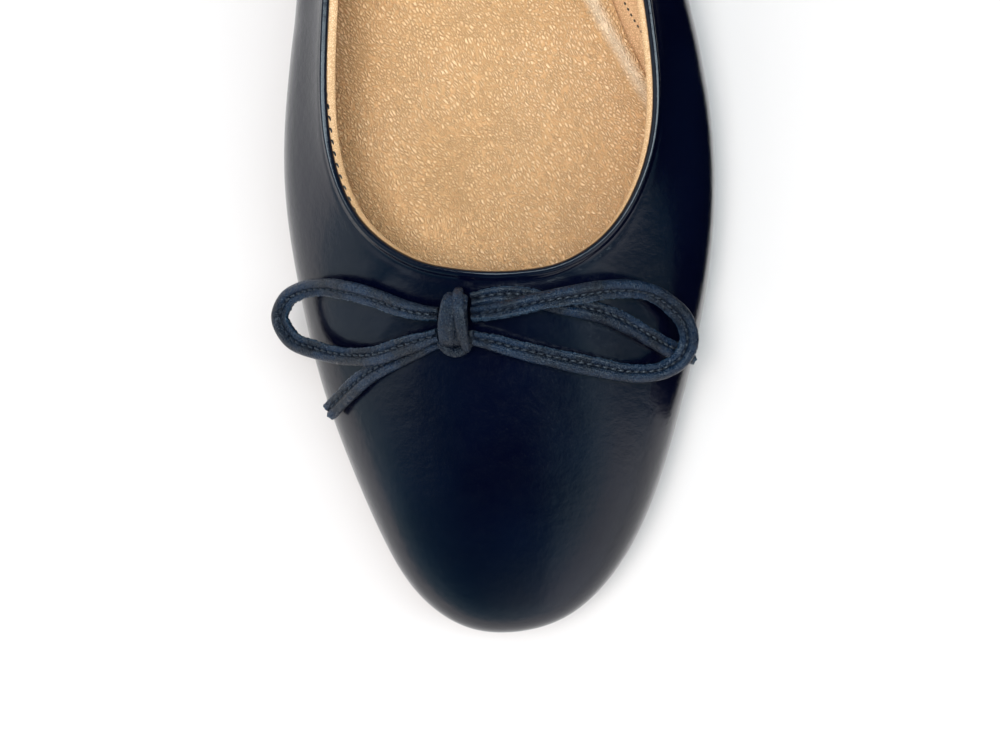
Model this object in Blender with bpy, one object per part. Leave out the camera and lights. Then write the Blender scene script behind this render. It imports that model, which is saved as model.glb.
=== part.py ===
"""A ballet flat for the right foot: a low slip-on of smooth leather with a cord bow.

Metres, +Z up, the floor at z = 0. The toe points to -Y, the heel to +Y, and the big toe's side is +X.
The origin is on the floor, under the middle of the shoe's length and width.
"""

import math

import bmesh
import bpy
import numpy as np
from mathutils import Matrix

# Sizes over the upper
LENGTH = 0.250
WIDTH = 0.0844
WALL = 0.0022
THROAT_RISE = 0.0375
SIDE_RISE = 0.0317
BACK_RISE = 0.0485
SWELL_HEIGHT = 0.0115
TUCK = 0.0045
FEATHER_ROUND = 0.0030
MARGIN = 0.0070
EDGE_WIDTH = 0.0015
EDGE_FADE = 0.0006
EDGE_BEAD = 0.0004
EDGE_CROWN = 0.0005

# Sizes of what is underneath and inside
SOLE = 0.0030
SOLE_CHAMFER = 0.0006
TOE_SPRING = 0.0055
HEEL = 0.0090
TOP_PIECE = 0.0028
HEEL_TAPER = 0.0010
BREAST_CURVE = 0.0030
INSOLE = 0.0020
INSOLE_EDGE = 0.0007
GAP = 0.0003
INSOLE_GAP = 0.0006

# Sizes of the bow: its cord, the knot over its crossing, and how far apart the cord's points lie
CORD = 0.0024
CORD_STEP = 0.0042
KNOT_WIDTH = 0.0056
KNOT_LENGTH = 0.0124
KNOT_HEIGHT = 0.0056

# Where the sole leaves the floor and meets the heel, as shares of LENGTH from the toe tip
SPRING_END = 0.21
SHANK_START = 0.42
BREAST = 0.765

# How far the handles of each wall curve reach, as shares of that stretch of wall
NOSE_REACH = 0.50
VAMP_REACH = 0.46
UNDER_REACH = 0.80
SIDE_REACH = 0.60

# How far up the turn of the wall the insole's edge reaches, and how much of each reach the arch takes away
INSOLE_REACH = 0.22
ARCH_EASE = 0.45

# Steps round the shoe, up its wall below and above the widest place, and of smaller curves
ROUND_STEPS = 80
LOWER_STEPS = 4
UPPER_STEPS = 8
BREAST_STEPS = 8

# How much closer than even the steps round the shoe stand at the toe and the heel
CROWDING = 0.57

# The sharpest turn, in degrees, that is still shaded smooth
SMOOTH_TURN = 40

# One row for each place from the toe tip to the back of the heel. A column for one side ends in _m, the
# medial or inner side, or _l, the lateral or outer side. The others hold for both.
#   along, wide_m, wide_l     the widest outline, as shares of LENGTH and WIDTH
#   top_along, top_m, top_l   the topline that belongs to it, as the same shares
#   throat, back              the topline's height: the rest of 1 is SIDE_RISE
#   swell_m, swell_l          the widest place's height, as shares of SWELL_HEIGHT
#   tuck_m, tuck_l            how far the sole's edge lies inside the widest outline, as shares of TUCK
#   slope                     the wall's slope at the topline, in degrees from level
#   arch_m                    how far the wall's turn is eased into the slope of the arch
STATION_COLUMNS = (
    "along", "wide_m", "wide_l", "top_along", "top_m", "top_l",
    "throat", "back", "swell_m", "swell_l", "tuck_m", "tuck_l", "slope", "arch_m",
)
STATIONS = (
    (0.000, 0.026, -0.026, 0.2755, 0.012, -0.012, 1.00, 0.00, 0.74, 0.74, 0.60, 0.60, 15, 0.00),
    (0.009, 0.157, 0.085, 0.2762, 0.059, 0.038, 0.95, 0.00, 0.74, 0.74, 0.60, 0.60, 15, 0.00),
    (0.030, 0.245, 0.166, 0.2782, 0.106, 0.091, 0.84, 0.00, 0.76, 0.76, 0.62, 0.62, 16, 0.00),
    (0.065, 0.321, 0.238, 0.2820, 0.155, 0.144, 0.69, 0.00, 0.80, 0.80, 0.66, 0.66, 17, 0.00),
    (0.115, 0.384, 0.312, 0.2925, 0.217, 0.213, 0.47, 0.00, 0.85, 0.85, 0.72, 0.72, 20, 0.00),
    (0.180, 0.435, 0.391, 0.3150, 0.287, 0.293, 0.17, 0.00, 0.91, 0.91, 0.80, 0.80, 25, 0.00),
    (0.260, 0.482, 0.456, 0.3560, 0.347, 0.355, 0.02, 0.00, 0.97, 0.97, 0.95, 0.92, 34, 0.00),
    (0.350, 0.500, 0.499, 0.4120, 0.370, 0.381, 0.00, 0.00, 1.06, 1.00, 1.25, 1.10, 47, 0.10),
    (0.450, 0.462, 0.488, 0.4870, 0.343, 0.378, 0.00, 0.02, 1.32, 1.05, 2.50, 1.42, 60, 0.70),
    (0.550, 0.384, 0.456, 0.5700, 0.303, 0.362, 0.00, 0.02, 1.65, 1.15, 3.05, 1.70, 69, 1.00),
    (0.650, 0.344, 0.419, 0.6600, 0.284, 0.338, 0.00, 0.00, 1.75, 1.30, 2.00, 1.55, 74, 0.70),
    (0.750, 0.347, 0.389, 0.7530, 0.289, 0.315, 0.00, 0.11, 1.68, 1.50, 1.20, 1.20, 77, 0.15),
    (0.840, 0.363, 0.373, 0.8390, 0.296, 0.301, 0.00, 0.38, 1.70, 1.68, 1.00, 1.00, 79, 0.00),
    (0.910, 0.340, 0.344, 0.9050, 0.268, 0.271, 0.00, 0.66, 1.76, 1.76, 0.95, 0.95, 81, 0.00),
    (0.962, 0.250, 0.252, 0.9540, 0.190, 0.192, 0.00, 0.89, 1.80, 1.80, 0.92, 0.92, 82, 0.00),
    (0.991, 0.125, 0.127, 0.9795, 0.092, 0.093, 0.00, 0.98, 1.80, 1.80, 0.92, 0.92, 83, 0.00),
    (1.000, 0.000, 0.000, 0.9870, 0.000, 0.000, 0.00, 1.00, 1.80, 1.80, 0.92, 0.92, 83, 0.00),
)

# The knot's middle, and how it leans to lie on the vamp: to the toe and to the outer side, in degrees
KNOT_AT = (-0.0049, -0.0648, 0.0412)
KNOT_PITCH = 13.5
KNOT_ROLL = -9.0

# The bow's cord as it lies, in metres. Each stretch starts at the knot. A loop passes over its side's end.
BOW_ROUTES = {
    "bow_loop_lateral": (
        (-0.0081, -0.0638, 0.0405),
        (-0.0110, -0.0636, 0.0399),
        (-0.0151, -0.0628, 0.0386),
        (-0.0209, -0.0609, 0.0361),
        (-0.0269, -0.0595, 0.0333),
        (-0.0314, -0.0590, 0.0306),
        (-0.0358, -0.0595, 0.0276),
        (-0.0395, -0.0615, 0.0251),
        (-0.0409, -0.0646, 0.0241),
        (-0.0385, -0.0689, 0.0249),
        (-0.0331, -0.0710, 0.0275),
        (-0.0270, -0.0721, 0.0308),
        (-0.0209, -0.0719, 0.0346),
        (-0.0150, -0.0700, 0.0380),
        (-0.0113, -0.0688, 0.0397),
        (-0.0081, -0.0677, 0.0408),
    ),
    "bow_end_lateral": (
        (-0.0076, -0.0686, 0.0380),
        (-0.0097, -0.0693, 0.0374),
        (-0.0125, -0.0706, 0.0364),
        (-0.0182, -0.0733, 0.0338),
        (-0.0224, -0.0756, 0.0313),
        (-0.0260, -0.0785, 0.0283),
        (-0.0308, -0.0829, 0.0234),
    ),
    "bow_loop_medial": (
        (-0.0017, -0.0637, 0.0419),
        (0.0010, -0.0633, 0.0425),
        (0.0037, -0.0628, 0.0431),
        (0.0107, -0.0610, 0.0427),
        (0.0175, -0.0595, 0.0404),
        (0.0244, -0.0582, 0.0369),
        (0.0279, -0.0581, 0.0349),
        (0.0314, -0.0588, 0.0327),
        (0.0346, -0.0608, 0.0303),
        (0.0374, -0.0639, 0.0283),
        (0.0382, -0.0674, 0.0274),
        (0.0370, -0.0706, 0.0274),
        (0.0338, -0.0730, 0.0286),
        (0.0282, -0.0739, 0.0312),
        (0.0211, -0.0729, 0.0344),
        (0.0141, -0.0716, 0.0368),
        (0.0071, -0.0701, 0.0389),
        (0.0019, -0.0688, 0.0401),
        (-0.0016, -0.0681, 0.0406),
    ),
    "bow_end_medial": (
        (-0.0020, -0.0611, 0.0410),
        (0.0017, -0.0603, 0.0410),
        (0.0052, -0.0600, 0.0408),
        (0.0091, -0.0604, 0.0400),
        (0.0139, -0.0615, 0.0386),
        (0.0185, -0.0622, 0.0368),
        (0.0230, -0.0632, 0.0347),
        (0.0272, -0.0650, 0.0321),
        (0.0315, -0.0674, 0.0289),
        (0.0348, -0.0691, 0.0257),
        (0.0391, -0.0702, 0.0224),
    ),
}

NAVY = (0.012, 0.018, 0.040, 1.0)
CORD_NAVY = (0.026, 0.042, 0.072, 1.0)
TAN = (0.62, 0.40, 0.21, 1.0)
SOLE_BLACK = (0.012, 0.012, 0.013, 1.0)
HEEL_BLACK = (0.016, 0.015, 0.016, 1.0)


def clear_scene():
    for old in list(bpy.data.objects):
        bpy.data.objects.remove(old)


def closed_spline(knots, period, values, at):
    """Cubic curves through the values at the knots, with equal slope and bend where two of them meet."""
    count = len(knots)
    spans = np.diff(np.append(knots, knots[0] + period))
    grid = np.arange(count)
    system = np.zeros((count, count))
    system[grid, grid - 1] = np.roll(spans, 1)
    system[grid, grid] = 2 * (np.roll(spans, 1) + spans)
    system[grid, (grid + 1) % count] = spans
    slopes = (np.roll(values, -1, axis=0) - values) / spans[:, None]
    bends = np.linalg.solve(system, 6 * (slopes - np.roll(slopes, 1, axis=0)))
    at = np.mod(at, period)
    here = np.searchsorted(knots, at, side="right") - 1
    after = (here + 1) % count
    span = spans[here][:, None]
    past = (at - knots[here])[:, None]
    left = span - past
    return (
        (bends[here] * left**3 + bends[after] * past**3) / (6 * span)
        + (values[here] / span - bends[here] * span / 6) * left
        + (values[after] / span - bends[after] * span / 6) * past
    )


def stations():
    """The table's columns carried once round the shoe: along the medial side and back along the lateral."""
    table = dict(zip(STATION_COLUMNS, np.array(STATIONS).T))
    back = slice(-2, 0, -1)
    both = ("along", "top_along", "throat", "back", "slope")
    sides = {name: np.append(table[name], table[name][back]) for name in both}
    sides["across"] = np.append(table["wide_m"], -table["wide_l"][back])
    sides["top_across"] = np.append(table["top_m"], -table["top_l"][back])
    sides["swell"] = np.append(table["swell_m"], table["swell_l"][back])
    sides["tuck"] = np.append(table["tuck_m"], table["tuck_l"][back])
    sides["arch"] = np.append(table["arch_m"], 0 * table["arch_m"][back])
    half = (table["wide_m"] + table["wide_l"]) / 2
    steps = np.hypot(np.diff(table["along"]) * LENGTH, np.diff(half) * WIDTH)
    distance = np.append(0, np.cumsum(steps))
    period = 2 * distance[-1]
    return sides, np.append(distance, period - distance[back]), period


def form():
    """Where the wall stands, at ROUND_STEPS places round the shoe, with more of them at the toe and heel."""
    sides, knots, period = stations()
    turn = np.arange(ROUND_STEPS) / ROUND_STEPS
    at = period * (turn - CROWDING / (4 * math.pi) * np.sin(4 * math.pi * turn))
    values = np.stack(list(sides.values()), axis=1)
    found = dict(zip(sides, closed_spline(knots, period, values, at).T))
    widest = np.stack([found["across"] * WIDTH, (found["along"] - 0.5) * LENGTH], axis=1)
    top = np.stack([found["top_across"] * WIDTH, (found["top_along"] - 0.5) * LENGTH], axis=1)
    middle = (widest.max(axis=0) + widest.min(axis=0)) / 2
    tangent = np.roll(widest, -1, axis=0) - np.roll(widest, 1, axis=0)
    inward = np.stack([-tangent[:, 1], tangent[:, 0]], axis=1)
    rise = SIDE_RISE + (THROAT_RISE - SIDE_RISE) * found["throat"] + (BACK_RISE - SIDE_RISE) * found["back"]
    return {
        "widest": widest - middle,
        "top": top - middle,
        "inward": inward / np.linalg.norm(inward, axis=1)[:, None],
        "rise": rise,
        "swell": found["swell"] * SWELL_HEIGHT,
        "tuck": found["tuck"] * TUCK,
        "slope": np.radians(found["slope"]),
        "arch": np.clip(found["arch"], 0, 1),
    }


def underside(y):
    """Height of the outsole's underside: sprung up at the toe, flat at the ball, climbing to the heel."""
    share = y / LENGTH + 0.5
    spring = np.clip(1 - share / SPRING_END, 0, None) ** 2
    climb = np.clip((share - SHANK_START) / (BREAST - SHANK_START), 0, 1)
    return TOE_SPRING * spring + HEEL * climb * climb * (3 - 2 * climb)


def sole_top(y):
    return underside(y) + SOLE


def bezier(points, t):
    """A cubic curve, with its four points stacked first, at each t."""
    t = np.asarray(t)[:, None, None]
    a, b, c, d = points
    return (1 - t) ** 3 * a + 3 * (1 - t) ** 2 * t * b + 3 * (1 - t) * t * t * c + t**3 * d


def offset_turn(handles, t, distance):
    """Inset and height of the wall's turn at t, moved inwards. t may differ from place to place."""
    a, b, c, d = handles
    at = (1 - t) ** 3 * a + 3 * (1 - t) ** 2 * t * b + 3 * (1 - t) * t * t * c + t**3 * d
    along = (1 - t) ** 2 * (b - a) + 2 * (1 - t) * t * (c - b) + t * t * (d - c)
    inset, height = along / np.hypot(*along)
    return at + distance * np.array([height, -inset])


def raised(flat, height):
    """Plan points with a height on each, above the top of the sole there."""
    return np.column_stack([flat, sole_top(flat[:, 1]) + height])


def drawn_in(shape, inset):
    """The widest outline moved inwards, in plan."""
    return shape["widest"] + shape["inward"] * np.reshape(inset, (-1, 1))


def turn_handles(shape):
    """The four points of the wall's turn from the sole up to the widest place, as inset and height."""
    foot = shape["tuck"] + FEATHER_ROUND
    swell = shape["swell"]
    none = np.zeros_like(foot)
    under = UNDER_REACH * (1 - ARCH_EASE * shape["arch"])
    return np.array([
        [foot, none + GAP],
        [foot * (1 - under), none + GAP],
        [none, swell * (1 - SIDE_REACH)],
        [none, swell],
    ])


def outer_rows(shape, lower_steps, upper_steps):
    """The upper's outer face, in rings: the margin under the insole, the turn at the feather, the wall."""
    base = sole_top(shape["widest"][:, 1])
    swell = shape["swell"]
    handles = turn_handles(shape)
    rows = [raised(drawn_in(shape, handles[0][0] + MARGIN), GAP)]
    for inset, height in bezier(handles, np.arange(lower_steps) / lower_steps):
        flat = drawn_in(shape, inset)
        ground = sole_top(flat[:, 1]) * (1 - height / swell) + base * (height / swell)
        rows.append(np.column_stack([flat, ground + height]))
    widest = np.column_stack([shape["widest"], base + swell])
    top = np.column_stack([shape["top"], sole_top(shape["top"][:, 1]) + shape["rise"]])
    across = top - widest
    way = across * (1, 1, 0)
    level = np.linalg.norm(way, axis=1)[:, None]
    chord = np.linalg.norm(across, axis=1)[:, None]
    slope = shape["slope"][:, None]
    arrive = way / level * np.cos(slope) + np.array([0, 0, 1]) * np.sin(slope)
    upright = np.array([0, 0, 1]) * across[:, 2:] * NOSE_REACH
    handles = np.array([widest, widest + upright, top - arrive * chord * VAMP_REACH, top])
    rows.extend(bezier(handles, np.arange(upper_steps + 1) / upper_steps))
    return np.array(rows)


def normals_of(rows):
    """Directions out of a surface given as closed rings."""
    along = np.roll(rows, -1, axis=1) - np.roll(rows, 1, axis=1)
    up = np.gradient(rows, axis=0)
    out = np.cross(along, up)
    return out / np.linalg.norm(out, axis=2)[:, :, None]


def unit(vectors):
    return vectors / np.linalg.norm(vectors, axis=-1)[..., None]


def material(name, colour, roughness):
    made = bpy.data.materials.new(name)
    made.use_nodes = True
    shader = made.node_tree.nodes["Principled BSDF"]
    shader.inputs["Base Color"].default_value = colour
    shader.inputs["Roughness"].default_value = roughness
    shader.inputs["Metallic"].default_value = 0.0
    made.diffuse_color = colour
    return made


def solid(name, points, faces, finish):
    """One closed mesh object, with its faces turned outwards and its round parts shaded smooth."""
    mesh = bpy.data.meshes.new(name)
    mesh.from_pydata([tuple(point) for point in points], [], faces)
    edit = bmesh.new()
    edit.from_mesh(mesh)
    bmesh.ops.recalc_face_normals(edit, faces=edit.faces)
    edit.to_mesh(mesh)
    edit.free()
    mesh.materials.append(finish)
    mesh.shade_smooth()
    mesh.set_sharp_from_angle(angle=math.radians(SMOOTH_TURN))
    made = bpy.data.objects.new(name, mesh)
    bpy.context.scene.collection.objects.link(made)
    return made


def ring_faces(rings, count, closed):
    """Four-sided faces between neighbouring rings of points. If closed, the last ring meets the first."""
    faces = []
    for ring in range(rings if closed else rings - 1):
        low = ring * count
        high = (ring + 1) % rings * count
        for k in range(count):
            after = (k + 1) % count
            faces.append((low + k, low + after, high + after, high + k))
    return faces


def strip_faces(start, count):
    """Faces that close a ring straight across, from each place to the one facing it on the other side."""
    half = count // 2
    faces = [(start, start + 1, start + count - 1)]
    for k in range(1, half - 1):
        faces.append((start + k, start + k + 1, start + count - k - 1, start + count - k))
    faces.append((start + half - 1, start + half, start + half + 1))
    return faces


def pad(name, rings, finish):
    """A solid between a bottom ring and a top ring, each closed straight across."""
    count = len(rings[0])
    faces = ring_faces(len(rings), count, closed=False)
    faces += strip_faces(0, count)
    faces += strip_faces((len(rings) - 1) * count, count)
    return solid(name, np.concatenate(rings), faces, finish)


def make_upper(shape, finish):
    """One hollow wall, open at the foot's opening and underneath, with a rolled bead along its topline."""
    outer = outer_rows(shape, LOWER_STEPS, UPPER_STEPS)
    normals = normals_of(outer)
    inner = outer - normals * WALL
    up = unit(outer[-1] - outer[-2])
    top, out = outer[-1], normals[-1]
    bead = [
        top - up * (EDGE_WIDTH + EDGE_FADE),
        top - up * EDGE_WIDTH + out * EDGE_BEAD,
        top + out * EDGE_BEAD,
        top - out * WALL / 2 + up * EDGE_CROWN,
    ]
    rings = [*outer[:-1], *bead, *inner[::-1]]
    count = len(rings[0])
    return solid("upper", np.concatenate(rings), ring_faces(len(rings), count, closed=True), finish)


def make_outsole(shape, finish):
    """A thin sole the shape of the upper's foot, flat on the floor at the ball, with a broken lower edge."""
    edge = drawn_in(shape, shape["tuck"])
    tread = drawn_in(shape, shape["tuck"] + SOLE_CHAMFER)
    rings = [
        np.column_stack([tread, underside(tread[:, 1])]),
        np.column_stack([edge, underside(edge[:, 1]) + SOLE_CHAMFER]),
        np.column_stack([edge, sole_top(edge[:, 1])]),
    ]
    return pad("outsole", rings, finish)


def make_insole(shape, finish):
    """A pad that fills the hole between the margins and lies on them, with a rounded upper edge."""
    handles = turn_handles(shape)
    core = handles[0][0] + MARGIN + INSOLE_GAP
    seat = GAP + WALL + INSOLE_GAP
    reach = INSOLE_REACH * (1 - ARCH_EASE * shape["arch"])
    inset, height = offset_turn(handles, reach, WALL + INSOLE_GAP)
    rings = [
        raised(drawn_in(shape, core), GAP),
        raised(drawn_in(shape, core), seat),
        raised(drawn_in(shape, handles[0][0]), seat),
        raised(drawn_in(shape, inset), height),
        raised(drawn_in(shape, inset), seat + INSOLE - INSOLE_EDGE),
        raised(drawn_in(shape, inset + INSOLE_EDGE), seat + INSOLE),
    ]
    return pad("insole", rings, finish)


def heel_outline(shape, inset):
    """The part of the sole's outline behind the breast, closed by the breast's shallow curve."""
    flat = drawn_in(shape, shape["tuck"] + SOLE_CHAMFER + inset)
    line = (BREAST - 0.5) * LENGTH + inset
    behind = flat[flat[:, 1] > line]
    first, last = behind[0], behind[-1]
    share = np.arange(BREAST_STEPS + 1) / BREAST_STEPS
    across = last[0] * (1 - share) + first[0] * share
    hollow = line + BREAST_CURVE * np.sin(math.pi * share)
    return np.concatenate([behind, np.column_stack([across, hollow])])


def block(name, low_outline, low, high_outline, high, finish):
    """A solid between two outlines, each closed by one flat face."""
    count = len(low_outline)
    points = [(x, y, low) for x, y in low_outline] + [(x, y, high) for x, y in high_outline]
    faces = ring_faces(2, count, closed=False)
    faces += [tuple(range(count)), tuple(range(count, 2 * count))]
    return solid(name, points, faces, finish)


def make_heel(shape, stack_finish, rubber_finish):
    foot = heel_outline(shape, HEEL_TAPER)
    block("heel_block", foot, TOP_PIECE + GAP, heel_outline(shape, 0), HEEL - GAP, stack_finish)
    block("heel_top_piece", foot, 0.0, foot, TOP_PIECE, rubber_finish)


def smooth_route(route, step):
    """Points about a step apart on a smooth curve through the route, made of cubics with shared slopes."""
    points = np.array(route)
    knots = np.append(0, np.cumsum(np.linalg.norm(np.diff(points, axis=0), axis=1)))
    slopes = np.gradient(points, knots, axis=0)
    at = np.linspace(0, knots[-1], round(knots[-1] / step) + 1)
    here = np.clip(np.searchsorted(knots, at, side="right") - 1, 0, len(knots) - 2)
    span = np.diff(knots)[here][:, None]
    t = (at - knots[here])[:, None] / span
    return (
        (1 + 2 * t) * (1 - t) ** 2 * points[here]
        + t * (1 - t) ** 2 * span * slopes[here]
        + t * t * (3 - 2 * t) * points[here + 1]
        + t * t * (t - 1) * span * slopes[here + 1]
    )


def make_cord(name, route, finish):
    """A round tube along a route, with closed ends."""
    points = smooth_route(route, CORD_STEP)
    curve = bpy.data.curves.new(name, "CURVE")
    curve.dimensions = "3D"
    curve.bevel_depth = CORD / 2
    curve.bevel_resolution = 2
    curve.use_fill_caps = True
    line = curve.splines.new("POLY")
    line.points.add(len(points) - 1)
    for point, place in zip(line.points, points):
        point.co = (*place, 1.0)
    curve.materials.append(finish)
    made = bpy.data.objects.new(name, curve)
    bpy.context.scene.collection.objects.link(made)
    return made


def make_knot(finish):
    """The wrap over the bow's crossing, as one rounded lump that leans with the vamp."""
    pitch = Matrix.Rotation(math.radians(KNOT_PITCH), 4, "X")
    roll = Matrix.Rotation(math.radians(KNOT_ROLL), 4, "Y")
    size = Matrix.Diagonal((KNOT_WIDTH / 2, KNOT_LENGTH / 2, KNOT_HEIGHT / 2, 1.0))
    edit = bmesh.new()
    bmesh.ops.create_uvsphere(edit, u_segments=16, v_segments=10, radius=1.0)
    edit.transform(Matrix.Translation(KNOT_AT) @ pitch @ roll @ size)
    mesh = bpy.data.meshes.new("bow_knot")
    edit.to_mesh(mesh)
    edit.free()
    mesh.materials.append(finish)
    mesh.shade_smooth()
    made = bpy.data.objects.new("bow_knot", mesh)
    bpy.context.scene.collection.objects.link(made)
    return made


def make_bow(finish):
    make_knot(finish)
    for name, route in BOW_ROUTES.items():
        make_cord(name, route, finish)


def main():
    clear_scene()
    navy = material("navy_leather", NAVY, 0.32)
    cord = material("cord_leather", CORD_NAVY, 0.5)
    tan = material("tan_leather", TAN, 0.55)
    sole = material("sole_rubber", SOLE_BLACK, 0.6)
    heel = material("heel_stack", HEEL_BLACK, 0.5)
    shape = form()
    make_upper(shape, navy)
    make_outsole(shape, sole)
    make_insole(shape, tan)
    make_heel(shape, heel, sole)
    make_bow(cord)


main()
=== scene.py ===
# %% [markdown]
# # A ballet flat, dressed for its picture
# A ballet flat is a low slip-on shoe: smooth leather drawn over a foot-shaped last, a thin sole, hardly any
# heel and a bow of leather cord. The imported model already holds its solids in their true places. This
# lesson adds two layers of leather, a rolled and stitched topline, a pebbled insole, a folded cord, and the
# gloss of each.

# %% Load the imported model
import math

import bmesh
import bpy
import numpy as np
from mathutils import Matrix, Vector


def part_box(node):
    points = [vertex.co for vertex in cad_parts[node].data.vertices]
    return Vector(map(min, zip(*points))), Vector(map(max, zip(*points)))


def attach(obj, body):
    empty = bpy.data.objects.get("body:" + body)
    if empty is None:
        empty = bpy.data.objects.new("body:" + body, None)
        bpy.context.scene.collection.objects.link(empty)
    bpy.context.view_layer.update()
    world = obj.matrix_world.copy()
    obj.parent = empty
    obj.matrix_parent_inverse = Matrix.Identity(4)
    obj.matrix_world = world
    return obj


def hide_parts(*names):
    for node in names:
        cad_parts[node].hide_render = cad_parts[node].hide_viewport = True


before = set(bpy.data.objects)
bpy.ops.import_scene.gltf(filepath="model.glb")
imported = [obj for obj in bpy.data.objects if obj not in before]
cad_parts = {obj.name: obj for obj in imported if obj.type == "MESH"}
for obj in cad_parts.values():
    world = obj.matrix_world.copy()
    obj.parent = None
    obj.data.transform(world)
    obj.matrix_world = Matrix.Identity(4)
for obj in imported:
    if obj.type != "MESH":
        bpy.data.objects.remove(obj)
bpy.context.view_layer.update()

MM = 0.001
print("packed nodes:", ", ".join(sorted(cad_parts)))

# %% [markdown]
# ## The camera
# The photograph looks straight down from half a metre, so near parts look a little larger than far ones.
# The camera stays where it was, turns slightly until the one shoe is in the middle, and rolls by the angle
# at which it lay.

# %% Camera
CAMERA_AT = (0.0450, -0.0726, 0.500)
CAMERA_ROLL = 1.5
CAMERA_AIM = 5.15
LENS = 89.7


def put(name, data):
    """A new object in the scene."""
    made = bpy.data.objects.new(name, data)
    bpy.context.scene.collection.objects.link(made)
    return made


camera = bpy.data.cameras.new("camera")
camera.lens = LENS
camera.sensor_width = 36.0
roll = Matrix.Rotation(math.radians(CAMERA_ROLL), 4, "Z")
aim = Matrix.Rotation(math.radians(CAMERA_AIM), 4, "Y")
bpy.context.scene.camera = put("camera", camera)
bpy.context.scene.camera.matrix_world = Matrix.Translation(CAMERA_AT) @ roll @ aim
print("camera stands", round(CAMERA_AT[2] / MM), "mm over the floor")

# %% [markdown]
# ## The last, as numbers
# A shoe takes its form from a last. Each row below is a station along the foot. The solids were made from
# the same table. Read here at six times as many places, it gives surfaces that are smooth enough to mirror
# a window.

# %% Sizes of the last
UPPER_LOW, UPPER_HIGH = (np.array(corner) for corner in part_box("upper"))
LENGTH = float(UPPER_HIGH[1] - UPPER_LOW[1])
BALL_WIDTH = float(UPPER_HIGH[0] - UPPER_LOW[0])
WALL = 0.0022
THROAT_RISE = 0.0375
SIDE_RISE = 0.0317
BACK_RISE = 0.0485
SWELL_HEIGHT = 0.0115
TUCK = 0.0045
FEATHER_ROUND = 0.0030
MARGIN = 0.0070
SOLE = 0.0030
SOLE_CHAMFER = 0.0006
TOE_SPRING = 0.0055
HEEL = 0.0090
TOP_PIECE = 0.0028
HEEL_TAPER = 0.0010
BREAST_CURVE = 0.0030
INSOLE = 0.0020
GAP = 0.0003
SPRING_END = 0.21
SHANK_START = 0.42
BREAST = 0.765
NOSE_REACH = 0.50
VAMP_REACH = 0.46
UNDER_REACH = 0.80
SIDE_REACH = 0.60
ARCH_EASE = 0.45
CROWDING = 0.57
print(f"last: {LENGTH / MM:.1f} mm long, {BALL_WIDTH / MM:.1f} mm over the ball")

# %% Stations of the last
# A name ends in _m for the medial or inner side, and in _l for the lateral or outer side.
#   along, wide_m, wide_l     the widest outline, as shares of the length and of the ball's width
#   top_along, top_m, top_l   the topline that belongs to it, as the same shares
#   throat, back              the topline's height: the rest of 1 is SIDE_RISE
#   swell_m, swell_l          the widest place's height, as shares of SWELL_HEIGHT
#   tuck_m, tuck_l            how far the sole's edge lies inside the widest outline, as shares of TUCK
#   slope                     the wall's slope at the topline, in degrees from level
#   arch_m                    how far the wall's turn is eased into the slope of the arch
STATION_COLUMNS = (
    "along", "wide_m", "wide_l", "top_along", "top_m", "top_l",
    "throat", "back", "swell_m", "swell_l", "tuck_m", "tuck_l", "slope", "arch_m",
)
STATIONS = (
    (0.000, 0.026, -0.026, 0.2755, 0.012, -0.012, 1.00, 0, 0.74, 0.74, 0.60, 0.60, 15, 0),
    (0.009, 0.157, 0.085, 0.2762, 0.059, 0.038, 0.95, 0, 0.74, 0.74, 0.60, 0.60, 15, 0),
    (0.030, 0.245, 0.166, 0.2782, 0.106, 0.091, 0.84, 0, 0.76, 0.76, 0.62, 0.62, 16, 0),
    (0.065, 0.321, 0.238, 0.2820, 0.155, 0.144, 0.69, 0, 0.80, 0.80, 0.66, 0.66, 17, 0),
    (0.115, 0.384, 0.312, 0.2925, 0.217, 0.213, 0.47, 0, 0.85, 0.85, 0.72, 0.72, 20, 0),
    (0.180, 0.435, 0.391, 0.3150, 0.287, 0.293, 0.17, 0, 0.91, 0.91, 0.80, 0.80, 25, 0),
    (0.260, 0.482, 0.456, 0.3560, 0.347, 0.355, 0.02, 0, 0.97, 0.97, 0.95, 0.92, 34, 0),
    (0.350, 0.500, 0.499, 0.4120, 0.370, 0.381, 0, 0, 1.06, 1.00, 1.25, 1.10, 47, 0.10),
    (0.450, 0.462, 0.488, 0.4870, 0.343, 0.378, 0, 0.02, 1.32, 1.05, 2.50, 1.42, 60, 0.70),
    (0.550, 0.384, 0.456, 0.5700, 0.303, 0.362, 0, 0.02, 1.65, 1.15, 3.05, 1.70, 69, 1.00),
    (0.650, 0.344, 0.419, 0.6600, 0.284, 0.338, 0, 0, 1.75, 1.30, 2.00, 1.55, 74, 0.70),
    (0.750, 0.347, 0.389, 0.7530, 0.289, 0.315, 0, 0.11, 1.68, 1.50, 1.20, 1.20, 77, 0.15),
    (0.840, 0.363, 0.373, 0.8390, 0.296, 0.301, 0, 0.38, 1.70, 1.68, 1.00, 1.00, 79, 0),
    (0.910, 0.340, 0.344, 0.9050, 0.268, 0.271, 0, 0.66, 1.76, 1.76, 0.95, 0.95, 81, 0),
    (0.962, 0.250, 0.252, 0.9540, 0.190, 0.192, 0, 0.89, 1.80, 1.80, 0.92, 0.92, 82, 0),
    (0.991, 0.125, 0.127, 0.9795, 0.092, 0.093, 0, 0.98, 1.80, 1.80, 0.92, 0.92, 83, 0),
    (1.000, 0, 0, 0.9870, 0, 0, 0, 1.00, 1.80, 1.80, 0.92, 0.92, 83, 0),
)
print(len(STATIONS), "stations from the toe to the back of the heel")

# %% [markdown]
# Between the stations the values follow closed cubic curves whose slope and bend agree wherever two pieces
# meet, because a kink would show as a broken reflection on glossy leather. The curves run once round the
# shoe: out along the inner side from the toe, and home along the outer side.


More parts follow.
